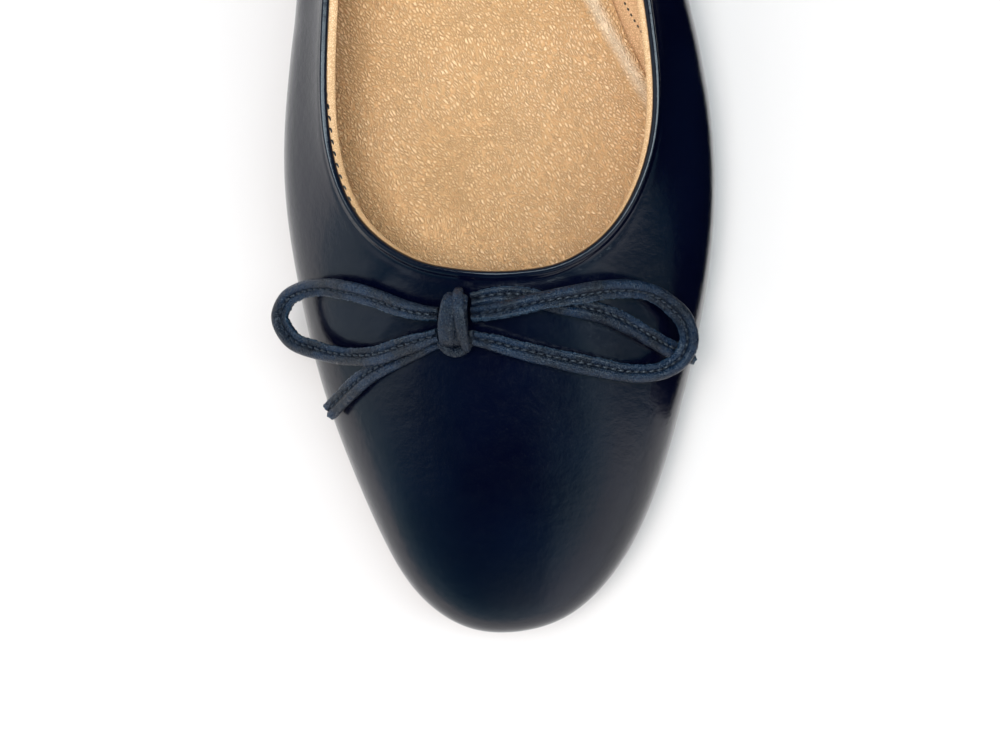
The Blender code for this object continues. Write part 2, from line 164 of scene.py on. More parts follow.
# %% Smooth curves through the stations
def closed_spline(knots, period, values, at):
    """Cubic curves through the values at the knots. The bends at the knots solve one cyclic linear system."""
    count = len(knots)
    spans = np.diff(np.append(knots, knots[0] + period))
    grid = np.arange(count)
    system = np.zeros((count, count))
    system[grid, grid - 1] = np.roll(spans, 1)
    system[grid, grid] = 2 * (np.roll(spans, 1) + spans)
    system[grid, (grid + 1) % count] = spans
    slopes = (np.roll(values, -1, axis=0) - values) / spans[:, None]
    bends = np.linalg.solve(system, 6 * (slopes - np.roll(slopes, 1, axis=0)))
    at = np.mod(at, period)
    here = np.searchsorted(knots, at, side="right") - 1
    after = (here + 1) % count
    span = spans[here][:, None]
    past = (at - knots[here])[:, None]
    left = span - past
    return (
        (bends[here] * left**3 + bends[after] * past**3) / (6 * span)
        + (values[here] / span - bends[here] * span / 6) * left
        + (values[after] / span - bends[after] * span / 6) * past
    )


def round_the_shoe():
    """The table's columns carried once round: along the medial side and back along the lateral."""
    table = dict(zip(STATION_COLUMNS, np.array(STATIONS).T))
    home = slice(-2, 0, -1)
    both = ("along", "top_along", "throat", "back", "slope")
    sides = {name: np.append(table[name], table[name][home]) for name in both}
    sides["across"] = np.append(table["wide_m"], -table["wide_l"][home])
    sides["top_across"] = np.append(table["top_m"], -table["top_l"][home])
    sides["swell"] = np.append(table["swell_m"], table["swell_l"][home])
    sides["tuck"] = np.append(table["tuck_m"], table["tuck_l"][home])
    sides["arch"] = np.append(table["arch_m"], 0 * table["arch_m"][home])
    half = (table["wide_m"] + table["wide_l"]) / 2
    steps = np.hypot(np.diff(table["along"]) * LENGTH, np.diff(half) * BALL_WIDTH)
    distance = np.append(0, np.cumsum(steps))
    period = 2 * distance[-1]
    return sides, np.append(distance, period - distance[home]), period


def last_form(columns):
    """Where the wall stands at evenly numbered places round the shoe, crowded at the toe and the heel."""
    sides, knots, period = round_the_shoe()
    turn = np.arange(columns) / columns
    at = period * (turn - CROWDING / (4 * math.pi) * np.sin(4 * math.pi * turn))
    values = np.stack(list(sides.values()), axis=1)
    found = dict(zip(sides, closed_spline(knots, period, values, at).T))
    width = BALL_WIDTH / np.ptp(found["across"])
    widest = np.stack([found["across"] * width, (found["along"] - 0.5) * LENGTH], axis=1)
    top = np.stack([found["top_across"] * width, (found["top_along"] - 0.5) * LENGTH], axis=1)
    middle = (widest.max(axis=0) + widest.min(axis=0)) / 2
    tangent = np.roll(widest, -1, axis=0) - np.roll(widest, 1, axis=0)
    inward = np.stack([-tangent[:, 1], tangent[:, 0]], axis=1)
    lift = (THROAT_RISE - SIDE_RISE) * found["throat"] + (BACK_RISE - SIDE_RISE) * found["back"]
    return {
        "widest": widest - middle,
        "top": top - middle,
        "inward": inward / np.linalg.norm(inward, axis=1)[:, None],
        "rise": SIDE_RISE + lift,
        "swell": found["swell"] * SWELL_HEIGHT,
        "tuck": found["tuck"] * TUCK,
        "slope": np.radians(found["slope"]),
        "arch": np.clip(found["arch"], 0, 1),
    }


COLUMNS = 480
LAST = last_form(COLUMNS)
print("outline read at", COLUMNS, "places")


# %% The ground under the foot
def underside(y):
    """Height of the outsole's underside: a parabola up at the toe, flat at the ball, an S up to the heel."""
    share = y / LENGTH + 0.5
    spring = np.clip(1 - share / SPRING_END, 0, None) ** 2
    climb = np.clip((share - SHANK_START) / (BREAST - SHANK_START), 0, 1)
    return TOE_SPRING * spring + HEEL * climb * climb * (3 - 2 * climb)


def sole_top(y):
    """Height of the outsole's upper face."""
    return underside(y) + SOLE


def drawn_in(shape, inset):
    """The widest outline moved inwards in plan, by one distance or by one for each column."""
    return shape["widest"] + shape["inward"] * np.reshape(inset, (-1, 1))


def raised(flat, height):
    """Plan points lifted to a height above the top of the sole."""
    return np.column_stack([flat, sole_top(flat[:, 1]) + height])


def unit(vectors):
    """The same directions, one metre long."""
    return vectors / np.linalg.norm(vectors, axis=-1, keepdims=True)


def soft_step(value, start, end):
    """Rises from 0 at start to 1 at end, level at both: 3t^2 - 2t^3."""
    t = np.clip((value - start) / (end - start), 0, 1)
    return t * t * (3 - 2 * t)


print(f"toe springs {underside(np.array(-LENGTH / 2)) / MM:.1f} mm, heel stands {HEEL / MM:.1f} mm")

# %% [markdown]
# The wall of a lasted shoe has three stretches. The margin is folded under the insole. The turn at the
# feather edge swings up to the widest place. From there the wall leans inwards to the topline. Each stretch
# is a cubic curve, so the wall is one function of two numbers: how far round, and how far up. The rows
# crowd together at the topline, where the leather is rolled over a small bead.

# %% The wall as a grid of points
TURN_ROWS = 18
WALL_ROWS = 60
EDGE_ZONE = 0.0046
EDGE_ROWS = 20
UPRIGHT = np.array([0, 0, 1])


def turn_handles(shape):
    """Four control points of the turn, as inset and height: from the feather edge up to the widest place."""
    foot = shape["tuck"] + FEATHER_ROUND
    swell = shape["swell"]
    none = np.zeros_like(foot)
    under = UNDER_REACH * (1 - ARCH_EASE * shape["arch"])
    low = none + GAP
    return np.array([(foot, low), (foot * (1 - under), low), (none, swell * (1 - SIDE_REACH)), (none, swell)])


def cubic(points, t):
    """A cubic curve at each t: (1-t)^3 a + 3(1-t)^2 t b + 3(1-t)t^2 c + t^3 d."""
    a, b, c, d = points
    return (1 - t) ** 3 * a + 3 * (1 - t) ** 2 * t * b + 3 * (1 - t) * t * t * c + t**3 * d


def wall_grid(shape):
    """Rows of the outer face from the margin to the topline, and each point's distance below the topline."""
    base = sole_top(shape["widest"][:, 1])
    swell = shape["swell"]
    handles = turn_handles(shape)
    foot = handles[0][0]
    rows = [raised(drawn_in(shape, foot + MARGIN * share), GAP) for share in (1, 0.75, 0.5, 0.25)]
    for t in np.arange(TURN_ROWS) / TURN_ROWS:
        inset, height = cubic(handles, t)
        flat = drawn_in(shape, inset)
        ground = sole_top(flat[:, 1]) * (1 - height / swell) + base * (height / swell)
        rows.append(np.column_stack([flat, ground + height]))
    widest = np.column_stack([shape["widest"], base + swell])
    top = np.column_stack([shape["top"], sole_top(shape["top"][:, 1]) + shape["rise"]])
    across = top - widest
    way = unit(across * (1, 1, 0))
    chord = np.linalg.norm(across, axis=1)[:, None]
    slope = shape["slope"][:, None]
    arrive = way * np.cos(slope) + UPRIGHT * np.sin(slope)
    nose = UPRIGHT * across[:, 2:] * NOSE_REACH
    handles = (widest, widest + nose, top - arrive * chord * VAMP_REACH, top)
    zone = EDGE_ZONE / (3 * VAMP_REACH * chord)
    even = np.arange(WALL_ROWS) / WALL_ROWS
    fine = 1 - np.linspace(1, 0, EDGE_ROWS + 1)
    ts = [(1 - zone) * share for share in even] + [1 - zone * (1 - share) for share in fine]
    rows.extend(cubic(handles, t) for t in ts)
    rows = np.array(rows)
    steps = np.linalg.norm(np.diff(rows, axis=0), axis=2)
    return rows, np.vstack([np.cumsum(steps[::-1], axis=0)[::-1], np.zeros((1, len(base)))])


def outward(rows):
    """Directions out of the grid: the cross product of the steps round it and up it."""
    round_it = np.roll(rows, -1, axis=1) - np.roll(rows, 1, axis=1)
    return unit(np.cross(round_it, np.gradient(rows, axis=0)))


WALL_POINTS, WALL_DOWN = wall_grid(LAST)
WALL_OUT = outward(WALL_POINTS)
WALL_UP = unit(np.gradient(WALL_POINTS, axis=0))
WIDEST_ROW = 4 + TURN_ROWS
print("wall grid:", WALL_POINTS.shape[0], "rows of", WALL_POINTS.shape[1])

# %% [markdown]
# ## From numbers to meshes
# Every new piece is a block of rings: points round a closed section, ring after ring. Two rings in a row
# give four-sided faces. A piece either closes on itself like a tyre, or ends in a lid. At the end the faces
# are turned outwards and shaded smoothly, with sharp edges kept where two faces meet at a steep angle.

# %% Faces between rings, and lids
SHARP = math.radians(42)


def ring_quads(rings, count, closed=False):
    """Corner numbers of the faces between neighbouring rings. If closed, the last ring meets the first."""
    ring = np.arange(rings if closed else rings - 1)[:, None] * count
    above = (ring + count) % (rings * count)
    place = np.arange(count)[None, :]
    after = (place + 1) % count
    corners = (ring + place, ring + after, above + after, above + place)
    return np.stack(np.broadcast_arrays(*corners), axis=-1).reshape(-1, 4)


def lid_quads(count, first=0):
    """Faces straight across one ring with an even number of points: each step faces the one opposite."""
    k = np.arange(count // 2 - 1)
    return np.stack([k, k + 1, count - k - 2, count - k - 1], axis=-1) + first


def tube_quads(rings, count, copies=1):
    """Faces of tubes with lidded ends, for any number of equal tubes whose points follow each other."""
    sides = ring_quads(rings, count)
    one = np.concatenate([sides, lid_quads(count)[:, ::-1], lid_quads(count, (rings - 1) * count)])
    return (one[None] + np.arange(copies)[:, None, None] * rings * count).reshape(-1, 4)


def make_piece(name, points, faces, values=None):
    """A closed mesh object with outward faces. values maps a name to one number for each point."""
    points = np.reshape(points, (-1, 3))
    mesh = bpy.data.meshes.new(name)
    mesh.from_pydata(points, [], faces)
    for label, numbers in (values or {}).items():
        layer = mesh.attributes.new(label, "FLOAT", "POINT")
        layer.data.foreach_set("value", np.ravel(numbers).astype(np.float32))
    edit = bmesh.new()
    edit.from_mesh(mesh)
    bmesh.ops.recalc_face_normals(edit, faces=edit.faces)
    edit.to_mesh(mesh)
    edit.free()
    mesh.shade_smooth()
    mesh.set_sharp_from_angle(angle=SHARP)
    made = put(name, mesh)
    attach(made, "root")
    size = " x ".join(f"{side:.1f}" for side in np.ptp(points, axis=0) / MM)
    print(f"{name}: {len(mesh.polygons)} faces, {size} mm")
    return made


# %% [markdown]
# ## The bow's cord
# The cord is a strip of leather folded over a core and stitched beside it. One edge is a round bead, the
# other a flat flange with a raw edge, and the stitches lie in the groove between them. It is a sweep: one
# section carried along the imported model's own route. Each route begins at the knot. A loop passes over the
# tail on its side.

# %% Routes of the bow, in tenths of a millimetre
KNOT_AT = (-0.0049, -0.0648, 0.0412)
KNOT_PITCH = 13.5
KNOT_ROLL = -9.0
TENTHS = {
    "bow_loop_lateral": (
        (-81, -638, 405), (-110, -636, 399), (-151, -628, 386), (-209, -609, 361), (-269, -595, 333),
        (-314, -590, 306), (-358, -595, 276), (-395, -615, 251), (-409, -646, 241), (-385, -689, 249),
        (-331, -710, 275), (-270, -721, 308), (-209, -719, 346), (-150, -700, 380), (-113, -688, 397),
        (-81, -677, 408),
    ),
    "bow_end_lateral": (
        (-76, -686, 380), (-97, -693, 374), (-125, -706, 364), (-182, -733, 338), (-224, -756, 313),
        (-260, -785, 283), (-308, -829, 234),
    ),
    "bow_loop_medial": (
        (-17, -637, 419), (10, -633, 425), (37, -628, 431), (107, -610, 427), (175, -595, 404),
        (244, -582, 369), (279, -581, 349), (314, -588, 327), (346, -608, 303), (374, -639, 283),
        (382, -674, 274), (370, -706, 274), (338, -730, 286), (282, -739, 312), (211, -729, 344),
        (141, -716, 368), (71, -701, 389), (19, -688, 401), (-16, -681, 406),
    ),
    "bow_end_medial": (
        (-20, -611, 410), (17, -603, 410), (52, -600, 408), (91, -604, 400), (139, -615, 386),
        (185, -622, 368), (230, -632, 347), (272, -650, 321), (315, -674, 289), (348, -691, 257),
        (391, -702, 224),
    ),
}
BOW_ROUTES = {name: (np.array(route) / 10000).tolist() for name, route in TENTHS.items()}
print(len(BOW_ROUTES), "routes")


# %% Paths and the cross directions along them
def smooth_route(route, step):
    """Points about a step apart on cubics through the route, which share their slopes where they meet."""
    points = np.array(route)
    knots = run_length(points)
    slopes = np.gradient(points, knots, axis=0)
    at = np.linspace(0, knots[-1], round(knots[-1] / step) + 1)
    here = np.clip(np.searchsorted(knots, at, side="right") - 1, 0, len(knots) - 2)
    span = np.diff(knots)[here][:, None]
    t = (at - knots[here])[:, None] / span
    return (
        (1 + 2 * t) * (1 - t) ** 2 * points[here]
        + t * (1 - t) ** 2 * span * slopes[here]
        + t * t * (3 - 2 * t) * points[here + 1]
        + t * t * (t - 1) * span * slopes[here + 1]
    )


def run_length(path):
    """How far along the path each point lies."""
    return np.append(0, np.cumsum(np.linalg.norm(np.diff(path, axis=0), axis=1)))


VAMP_SHARE = 0.45
SMOOTHED = 41


def vamp_out(path):
    """The cord's own upright: between the vamp's outward direction under it, smoothed, and the vertical."""
    spots = WALL_POINTS[WIDEST_ROW::3, ::3].reshape(-1, 3)
    ways = WALL_OUT[WIDEST_ROW::3, ::3].reshape(-1, 3)
    found = ways[np.argmin(((path[:, None] - spots[None]) ** 2).sum(axis=2), axis=1)]
    window = np.hanning(SMOOTHED)
    padded = np.pad(found, ((SMOOTHED // 2, SMOOTHED // 2), (0, 0)), mode="edge")
    even = np.stack([np.convolve(padded[:, k], window / window.sum(), "valid") for k in range(3)], axis=1)
    return unit(even * VAMP_SHARE + np.array([0, 0, 1 - VAMP_SHARE]))


def cross_ways(path, up, bead_side, roll):
    """Side and up directions square to the path, turned by a roll. The side points to where the bead lies."""
    along = unit(np.gradient(path, axis=0))
    side = unit(np.cross(along, up)) * bead_side
    up = unit(np.cross(side, along)) * bead_side
    turned = np.radians(roll)[:, None]
    return side * np.cos(turned) + up * np.sin(turned), up * np.cos(turned) - side * np.sin(turned)


# %% The cord's section
CORD_WIDTH = 0.0035
CORD_HIGH = 0.0022
FLANGE_THICK = 0.0013
GROOVE_DEPTH = 0.00046
GROOVE_AT = -0.0003
SECTION_POINTS = 36


def cord_section():
    """Side and height of the section: a round bead at the right, a flat flange at the left, and a groove."""
    angle = np.arange(SECTION_POINTS) / SECTION_POINTS * 2 * math.pi
    side = CORD_WIDTH / 2 * np.cos(angle)
    radius = CORD_HIGH / 2
    bead = radius * np.sqrt(np.clip(1 - ((side - CORD_WIDTH / 2 + radius) / radius) ** 2, 0, 1))
    corner = FLANGE_THICK * 0.3
    past = np.clip((-CORD_WIDTH / 2 + corner - side) / corner, 0, 1)
    flange = FLANGE_THICK / 2 * (0.55 + 0.45 * np.sqrt(1 - past**2)) * (side < GROOVE_AT + radius)
    groove = GROOVE_DEPTH * np.exp(-(((side - GROOVE_AT) / 0.00026) ** 2))
    high = np.maximum(bead, flange) - groove
    return np.stack([side, high * np.sign(np.sin(angle) + 1e-9)], axis=1)


print(f"cord section {CORD_WIDTH / MM:.1f} x {CORD_HIGH / MM:.1f} mm")

# %% [markdown]
# A cord that was bent and tied is never even. Near the knot the strip stands on its fold, further out it
# lies flat on the vamp. A few angles along each stretch say how it rolls. The cut ends are ragged, so they
# are shaken a little.

# %% Sweep the cords
CORD_STEP = 0.00035
PINCH = 0.24
FRAY = 0.00007
SHAKE = 0.00016
# For each cord, the side on which the bead lies, and the roll in degrees at even places along it.
CORD_LAY = {
    "bow_loop_lateral": (1, (-20, 4, 12, 8, 0, 6, 10, 0, -14)),
    "bow_end_lateral": (-1, (-10, 0, 6, 4, 0)),
    "bow_loop_medial": (-1, (-38, -20, 0, 14, 22, 10, 6, 0, -6)),
    "bow_end_medial": (1, (0, 8, 12, 4, 0)),
}


def sweep_cord(name):
    """The section carried along the route, pinched where it enters the knot, with its ends closed."""
    path = smooth_route(BOW_ROUTES[name], CORD_STEP)
    run = run_length(path)
    bead_side, rolls = CORD_LAY[name]
    roll = np.interp(run / run[-1], np.linspace(0, 1, len(rolls)), rolls)
    side, up = cross_ways(path, vamp_out(path), bead_side, roll)
    home = np.minimum(run, run[-1] - run) if "loop" in name else run
    narrow = 1 - PINCH * (1 - soft_step(home, 0.0005, 0.0065))
    slow = 0.045 * np.sin(run / 0.0041 + len(name))
    wander = 1 + slow + 0.03 * np.sin(run / 0.0013) * np.sin(run / 0.0058)
    section = cord_section()
    across = (narrow * wander)[:, None] * section[None, :, 0]
    high = (wander * (2 - narrow) ** 0.5)[:, None] * section[None, :, 1]
    raw_edge = soft_step(-section[:, 0], CORD_WIDTH * 0.36, CORD_WIDTH * 0.5)
    across = across + np.random.default_rng(11).normal(0, FRAY, across.shape) * raw_edge
    points = path[:, None] + side[:, None] * across[..., None] + up[:, None] * high[..., None]
    raw = np.broadcast_to(soft_step(-section[:, 0], CORD_WIDTH * 0.42, CORD_WIDTH * 0.5), across.shape).copy()
    if "end" in name:
        shake = np.random.default_rng(7).normal(0, SHAKE, (3, SECTION_POINTS))
        points[-3:] += unit(path[-1] - path[-3]) * (shake * np.array([[0.3], [0.7], [1.0]]))[..., None]
        raw[-2:] = 1
    # Where the groove lies across the section: the cord material paints shade there.
    groove = np.exp(-(((section[:, 0] - GROOVE_AT) / 0.0003) ** 2))
    values = {"raw": raw, "groove": np.broadcast_to(groove, across.shape)}
    piece = make_piece(name + "_folded", points, tube_quads(len(path), SECTION_POINTS), values)
    return piece, path, side, up


CORDS = {name: sweep_cord(name) for name in BOW_ROUTES}

# %% [markdown]
# The stitches are short lengths of thread that rise out of one hole and dive into the next. There are
# hundreds, so each is only a few dozen faces: a little capsule, drawn out along the seam and bent down at
# both ends.

# %% Capsules for stitches
STITCH_RINGS = 6
STITCH_ROUND = 6
CORD_PITCH = 0.0016
CORD_STITCH = (0.00118, 0.00036, 0.00022)


def at_runs(run, wanted, *arrays):
    """Each array's rows read at the wanted distances along a run."""
    return [np.stack([np.interp(wanted, run, array[:, k]) for k in range(3)], axis=1) for array in arrays]


def make_stitches(name, middles, ways, ups, size):
    """Capsules of radius thick / 2 * (1 - t^2)^0.3 round a middle line that sinks by dip * t^2, |t| < 1."""
    long, thick, dip = size
    ways, ups = unit(ways), unit(ups)
    t = np.linspace(-0.96, 0.96, STITCH_RINGS)
    angle = np.arange(STITCH_ROUND) / STITCH_ROUND * 2 * math.pi
    sides = unit(np.cross(ways, ups))
    line = middles[:, None] + ways[:, None] * (t * long / 2)[None, :, None]
    line = line - ups[:, None] * (dip * t * t)[None, :, None]
    radius = (thick / 2 * np.sqrt(1 - t**2) ** 0.6)[None, :, None, None]
    ring_side = sides[:, None, None] * np.cos(angle)[None, None, :, None]
    ring_up = ups[:, None, None] * np.sin(angle)[None, None, :, None]
    points = line[:, :, None] + (ring_side + ring_up) * radius
    return make_piece(name, points, tube_quads(STITCH_RINGS, STITCH_ROUND, len(middles)))


def cord_stitches(name):
    """Two rows, one on each face of the cord, in the groove."""
    _, path, side, up = CORDS[name]
    run = run_length(path)
    wanted = np.arange(0.0022, run[-1] - 0.0012, CORD_PITCH)
    middle, cross, over, along = at_runs(run, wanted, path, side, up, unit(np.gradient(path, axis=0)))
    lift = FLANGE_THICK / 2 - GROOVE_DEPTH * 0.35
    seam = middle + cross * GROOVE_AT
    upper = (seam + over * lift, along + cross * 0.10, over)
    lower = (seam - over * lift, along - cross * 0.10, -over)
    both = [np.concatenate(pair) for pair in zip(upper, lower)]
    return make_stitches(name + "_stitches", *both, CORD_STITCH)


CORD_STITCHES = {name: cord_stitches(name) for name in BOW_ROUTES}

# %% [markdown]
# ## The knot
# The knot is the cord itself. Seen from above there is a wide flat turn on the outer side, a narrow turn
# that runs down across it, and below both the end of the turn underneath. Each is a sweep on a part of an
# ellipse.

# %% Turns of the knot
PITCHED = Matrix.Rotation(math.radians(KNOT_PITCH), 3, "X")
KNOT_FRAME = np.array(PITCHED @ Matrix.Rotation(math.radians(KNOT_ROLL), 3, "Y"))
KNOT_ROUND = 20
KNOT_STEPS = 44


def knot_turn(path, widths, thick, edge=0.0):
    """A flattened round section on a path and its outward ways, wide along out x path and thick along out."""
    places, out = path
    along = unit(np.gradient(places, axis=0))
    side = unit(np.cross(out, along))
    out = unit(np.cross(along, side))
    angle = np.arange(KNOT_ROUND) / KNOT_ROUND * 2 * math.pi
    flat = np.sign(np.cos(angle)) * np.abs(np.cos(angle)) ** 0.8
    high = np.sin(angle) * (1 + edge * np.cos(2 * angle))
    across = (widths / 2)[:, None] * flat[None]
    lift = out[:, None] * (thick / 2 * high)[None, :, None]
    return places[:, None] + side[:, None] * across[..., None] + lift


def over_turn(x_from, x_to, reach, rise, start, end):
    """A path over the knot: y = reach cos(a), z = rise sin(a), while x slides from one place to the other."""
    a = np.radians(np.linspace(start, end, KNOT_STEPS))
    share = np.linspace(0, 1, KNOT_STEPS)
    x = x_from + (x_to - x_from) * share * share * (3 - 2 * share)
    places = np.stack([x, reach * np.cos(a), rise * np.sin(a)], axis=1)
    return places, unit(np.stack([0 * a, np.cos(a) / reach, np.sin(a) / rise], axis=1))


def ring_turn(x, y, reach_x, reach_y, low, start, end):
    """A path round the knot's lower end, level with the vamp: an arc of an ellipse seen from above."""
    a = np.radians(np.linspace(start, end, KNOT_STEPS))
    bow = np.sin(np.linspace(0, math.pi, KNOT_STEPS))
    places = np.stack([x + reach_x * np.cos(a), y + reach_y * np.sin(a), low + 0.0005 * bow], axis=1)
    return places, np.tile([0.0, 0.0, 1.0], (KNOT_STEPS, 1))


def make_knot():
    """All turns and the core under them, as one piece in the knot's place."""
    swell = np.sin(math.pi * np.linspace(0, 1, KNOT_STEPS))
    wide = 0.0020 + 0.0015 * swell
    slim = 0.0014 + 0.0009 * swell
    turns = [
        knot_turn(over_turn(-0.0004, -0.0013, 0.0047, 0.0025, -30, 195), wide, 0.00135, 0.25),
        knot_turn(over_turn(0.0005, 0.0026, 0.0055, 0.0032, -25, 160), slim, 0.00150, 0.1),
        knot_turn(ring_turn(-0.0001, -0.0028, 0.0031, 0.0034, -0.0004, 165, 375), slim * 0.8, 0.00150),
        knot_turn(over_turn(0.0012, 0.0006, 0.0042, 0.0019, -30, 210), wide, 0.0016),
        knot_turn(over_turn(-0.0002, 0.0002, 0.0038, 0.0006, -20, 200), wide * 1.5, 0.0026),
    ]
    points = np.concatenate([turn.reshape(-1, 3) for turn in turns]) @ KNOT_FRAME.T + KNOT_AT
    return make_piece("bow_knot_turns", points, tube_quads(KNOT_STEPS, KNOT_ROUND, len(turns)))


KNOT = make_knot()

for name, (piece, path, _, _) in CORDS.items():
    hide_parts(name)
    print(f"{name}: {run_length(path)[-1] / MM:.1f} mm of cord")
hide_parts("bow_knot")

# %% [markdown]
# ## The navy leather
# The upper is one sheet of calf, about a millimetre thick, drawn tight over the last. At the topline it is
# folded over a thin cord, which makes the round bead, and the fold pulls the leather below it into a faint
# valley. The bead is geometry, not bump, because its highlight has to run unbroken round the foot's
# opening.

# %% Relief of the topline
LEATHER = 0.00105
BEAD = 0.00040
FOLD_CROWN = 0.00048


def topline_relief(down):
    """How far the leather stands out at a distance below the topline: a bead, a valley and a faint ridge."""
    bead = BEAD * (1 - soft_step(down, 0.45 * MM, 1.45 * MM))
    valley = 0.05 * MM * np.exp(-(((down - 1.85 * MM) / (0.50 * MM)) ** 2))
    ridge = 0.02 * MM * np.exp(-(((down - 3.1 * MM) / (0.85 * MM)) ** 2))
    return bead - valley + ridge


print(f"bead stands {BEAD / MM:.2f} mm proud")


# %% Creases and pulls
# Each: how far round the shoe (0 is the toe, then the inner side), how far below the topline, how long, how
# wide and how deep, all in millimetres but the first, and its lean in degrees from the topline. A negative
# depth is a ridge.
CREASES = (
    (0.117, 9.0, 16.0, 3.2, 0.16, 62), (0.134, 8.0, 14.0, 2.6, 0.12, 55),
    (0.100, 12.0, 15.0, 3.0, -0.10, 66), (0.872, 9.0, 16.0, 3.2, 0.14, -60),
    (0.889, 12.0, 15.0, 3.0, -0.09, -66), (0.230, 14.0, 26.0, 5.0, 0.12, 78),
    (0.760, 15.0, 28.0, 5.5, 0.12, -80), (0.060, 16.0, 20.0, 5.0, 0.09, 20),
    (0.940, 15.0, 20.0, 5.0, 0.08, -16),
)


def crease_relief(rows, down):
    """Soft troughs: depth * exp(-(u/length)^2 - (v/width)^2) along and across each crease's own line."""
    top = rows[-1]
    ahead = np.linalg.norm(np.roll(top, -1, axis=0) - top, axis=1)
    run = np.append(0, np.cumsum(ahead)[:-1])
    whole = ahead.sum()
    relief = np.zeros(down.shape)
    for turn, below, long, wide, deep, lean in CREASES:
        start = np.interp(turn, np.arange(COLUMNS) / COLUMNS, run)
        sideways = (run - start + whole / 2) % whole - whole / 2
        lean = math.radians(lean)
        u = sideways[None] * math.cos(lean) + (down - below * MM) * math.sin(lean)
        v = (down - below * MM) * math.cos(lean) - sideways[None] * math.sin(lean)
        relief -= deep * MM * np.exp(-((u / (long * MM / 2)) ** 2) - (v / (wide * MM / 2)) ** 2)
    return relief


print(len(CREASES), "creases")

# %% Skin from the wall grid
ROWS = np.arange(len(WALL_POINTS))
FEW_ROWS = np.unique(np.concatenate([ROWS[:-EDGE_ROWS:6], ROWS[-EDGE_ROWS::5], ROWS[-1:]]))
ARC_ROWS = 9


def skin(outer_rows, outer_at, inner_rows, inner_at, crown, top_at):
    """A closed sheet: an outer face, a half-ellipse over the top, crown high, and an inner face back down.

    outer_at and inner_at are distances out of the wall's grid. The ellipse starts top_at below its top."""
    outer = WALL_POINTS[outer_rows] + WALL_OUT[outer_rows] * outer_at[..., None]
    inner = WALL_POINTS[inner_rows] + WALL_OUT[inner_rows] * inner_at[..., None]
    top, out, up = WALL_POINTS[-1] - WALL_UP[-1] * top_at, WALL_OUT[-1], WALL_UP[-1]
    a = np.linspace(0, math.pi, ARC_ROWS + 2)[1:-1, None]
    middle = (outer_at[-1] + inner_at[-1]) / 2
    half = (outer_at[-1] - inner_at[-1]) / 2
    across = (middle[None] + half[None] * np.cos(a))[..., None]
    arc = top[None] + out[None] * across + up[None] * (crown * np.sin(a))[..., None]
    outer[-1] -= up * top_at
    inner[-1] -= up * top_at
    return np.concatenate([outer, arc, inner[::-1]])


def navy_sheet():
    """The leather sheet, with the bead and the creases on its outer face."""
    shown = soft_step(ROWS, 4, 4 + TURN_ROWS)[:, None]
    relief = topline_relief(WALL_DOWN) + crease_relief(WALL_POINTS, WALL_DOWN) * shown
    return skin(ROWS, relief, FEW_ROWS, np.full((len(FEW_ROWS), COLUMNS), -LEATHER), FOLD_CROWN, 0.0)


points = navy_sheet()
NAVY = make_piece("upper_leather", points, ring_quads(len(points), COLUMNS, True))
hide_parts("upper")

# %% [markdown]
# ## The lining
# Inside lies a thinner, tan leather. Its cut edge shows as a pale strip all round the opening, because the
# two are stitched together there. It is a second sheet, from the navy's inner face to the full thickness of
# the wall. Its rim leans into the opening a little, as an unsupported edge does, and less on the inner
# side.

# %% Lining
LINING_OUT = 0.00112
RIM_LEAN = 0.00062
RIM_LESS = 0.60
RIM_CROWN = 0.00036
RIM_DROP = 0.00022


def lining_sheet():
    """The lining: outer face against the navy, inner face at the wall's thickness, thicker at the rim."""
    front = np.unique(np.concatenate([ROWS[:-EDGE_ROWS:2], ROWS[-EDGE_ROWS:]]))
    less = 1 - RIM_LESS * soft_step(WALL_POINTS[-1, :, 0], -0.010, 0.020)
    lean = RIM_LEAN * less * np.exp(-((WALL_DOWN[front] / 0.0018) ** 2))
    outer = np.full((len(FEW_ROWS), COLUMNS), -LINING_OUT)
    return skin(FEW_ROWS, outer, front, -WALL - lean, RIM_CROWN, RIM_DROP)


points = lining_sheet()
LINING = make_piece("lining", points, ring_quads(len(points), COLUMNS, True))
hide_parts("upper")

# %% Stitches of the topline
TOPLINE_PITCH = 0.0023
TOPLINE_STITCH = (0.00135, 0.00044, 0.00030)


def topline_stitches():
    """Stitches along the joint of navy and tan. Where they show, their ends bite into the lining."""
    closed = np.r_[np.arange(COLUMNS), 0]
    top, out, up = WALL_POINTS[-1][closed], WALL_OUT[-1][closed], WALL_UP[-1][closed]
    run = run_length(top)
    count = round(run[-1] / TOPLINE_PITCH)
    wanted = (np.arange(count) + 0.5) / count * run[-1]
    seam = top - out * (LINING_OUT + 0.00006) + up * 0.00010
    middle, over, lift = at_runs(run, wanted, seam, out, up)
    along = unit(at_runs(run, (wanted + 0.0002) % run[-1], seam)[0] - middle)
    x, y, _ = middle.T
    shown = (x < 0) * soft_step(y, -0.047, -0.041) * (1 - soft_step(y, -0.027, -0.021))
    bite = (0.50 * MM * shown - 0.34 * MM)[:, None]
    lean = (0.05 + 0.35 * shown)[:, None]
    return make_stitches("topline_stitches", middle - over * bite, along - over * lean, lift, TOPLINE_STITCH)


TOPLINE = topline_stitches()

# %% Seam of the quarter lining, as places in the wall's grid: column and row
SEAM = ((110, 15.0), (113, 12.0), (116, 10.2), (119, 9.0), (122, 8.1), (127, 7.2), (134, 6.5))
SEAM_PITCH = 0.0013
SEAM_STITCH = (0.00070, 0.00042, 0.00012)


def between(grid, row, column):
    """The grid read between its points, in straight steps."""
    r, c = np.floor(row).astype(int), np.floor(column).astype(int)
    down, over = (row - r)[:, None], (column - c)[:, None]
    near = grid[r, c] * (1 - over) + grid[r, c + 1] * over
    far = grid[r + 1, c] * (1 - over) + grid[r + 1, c + 1] * over
    return near * (1 - down) + far * down


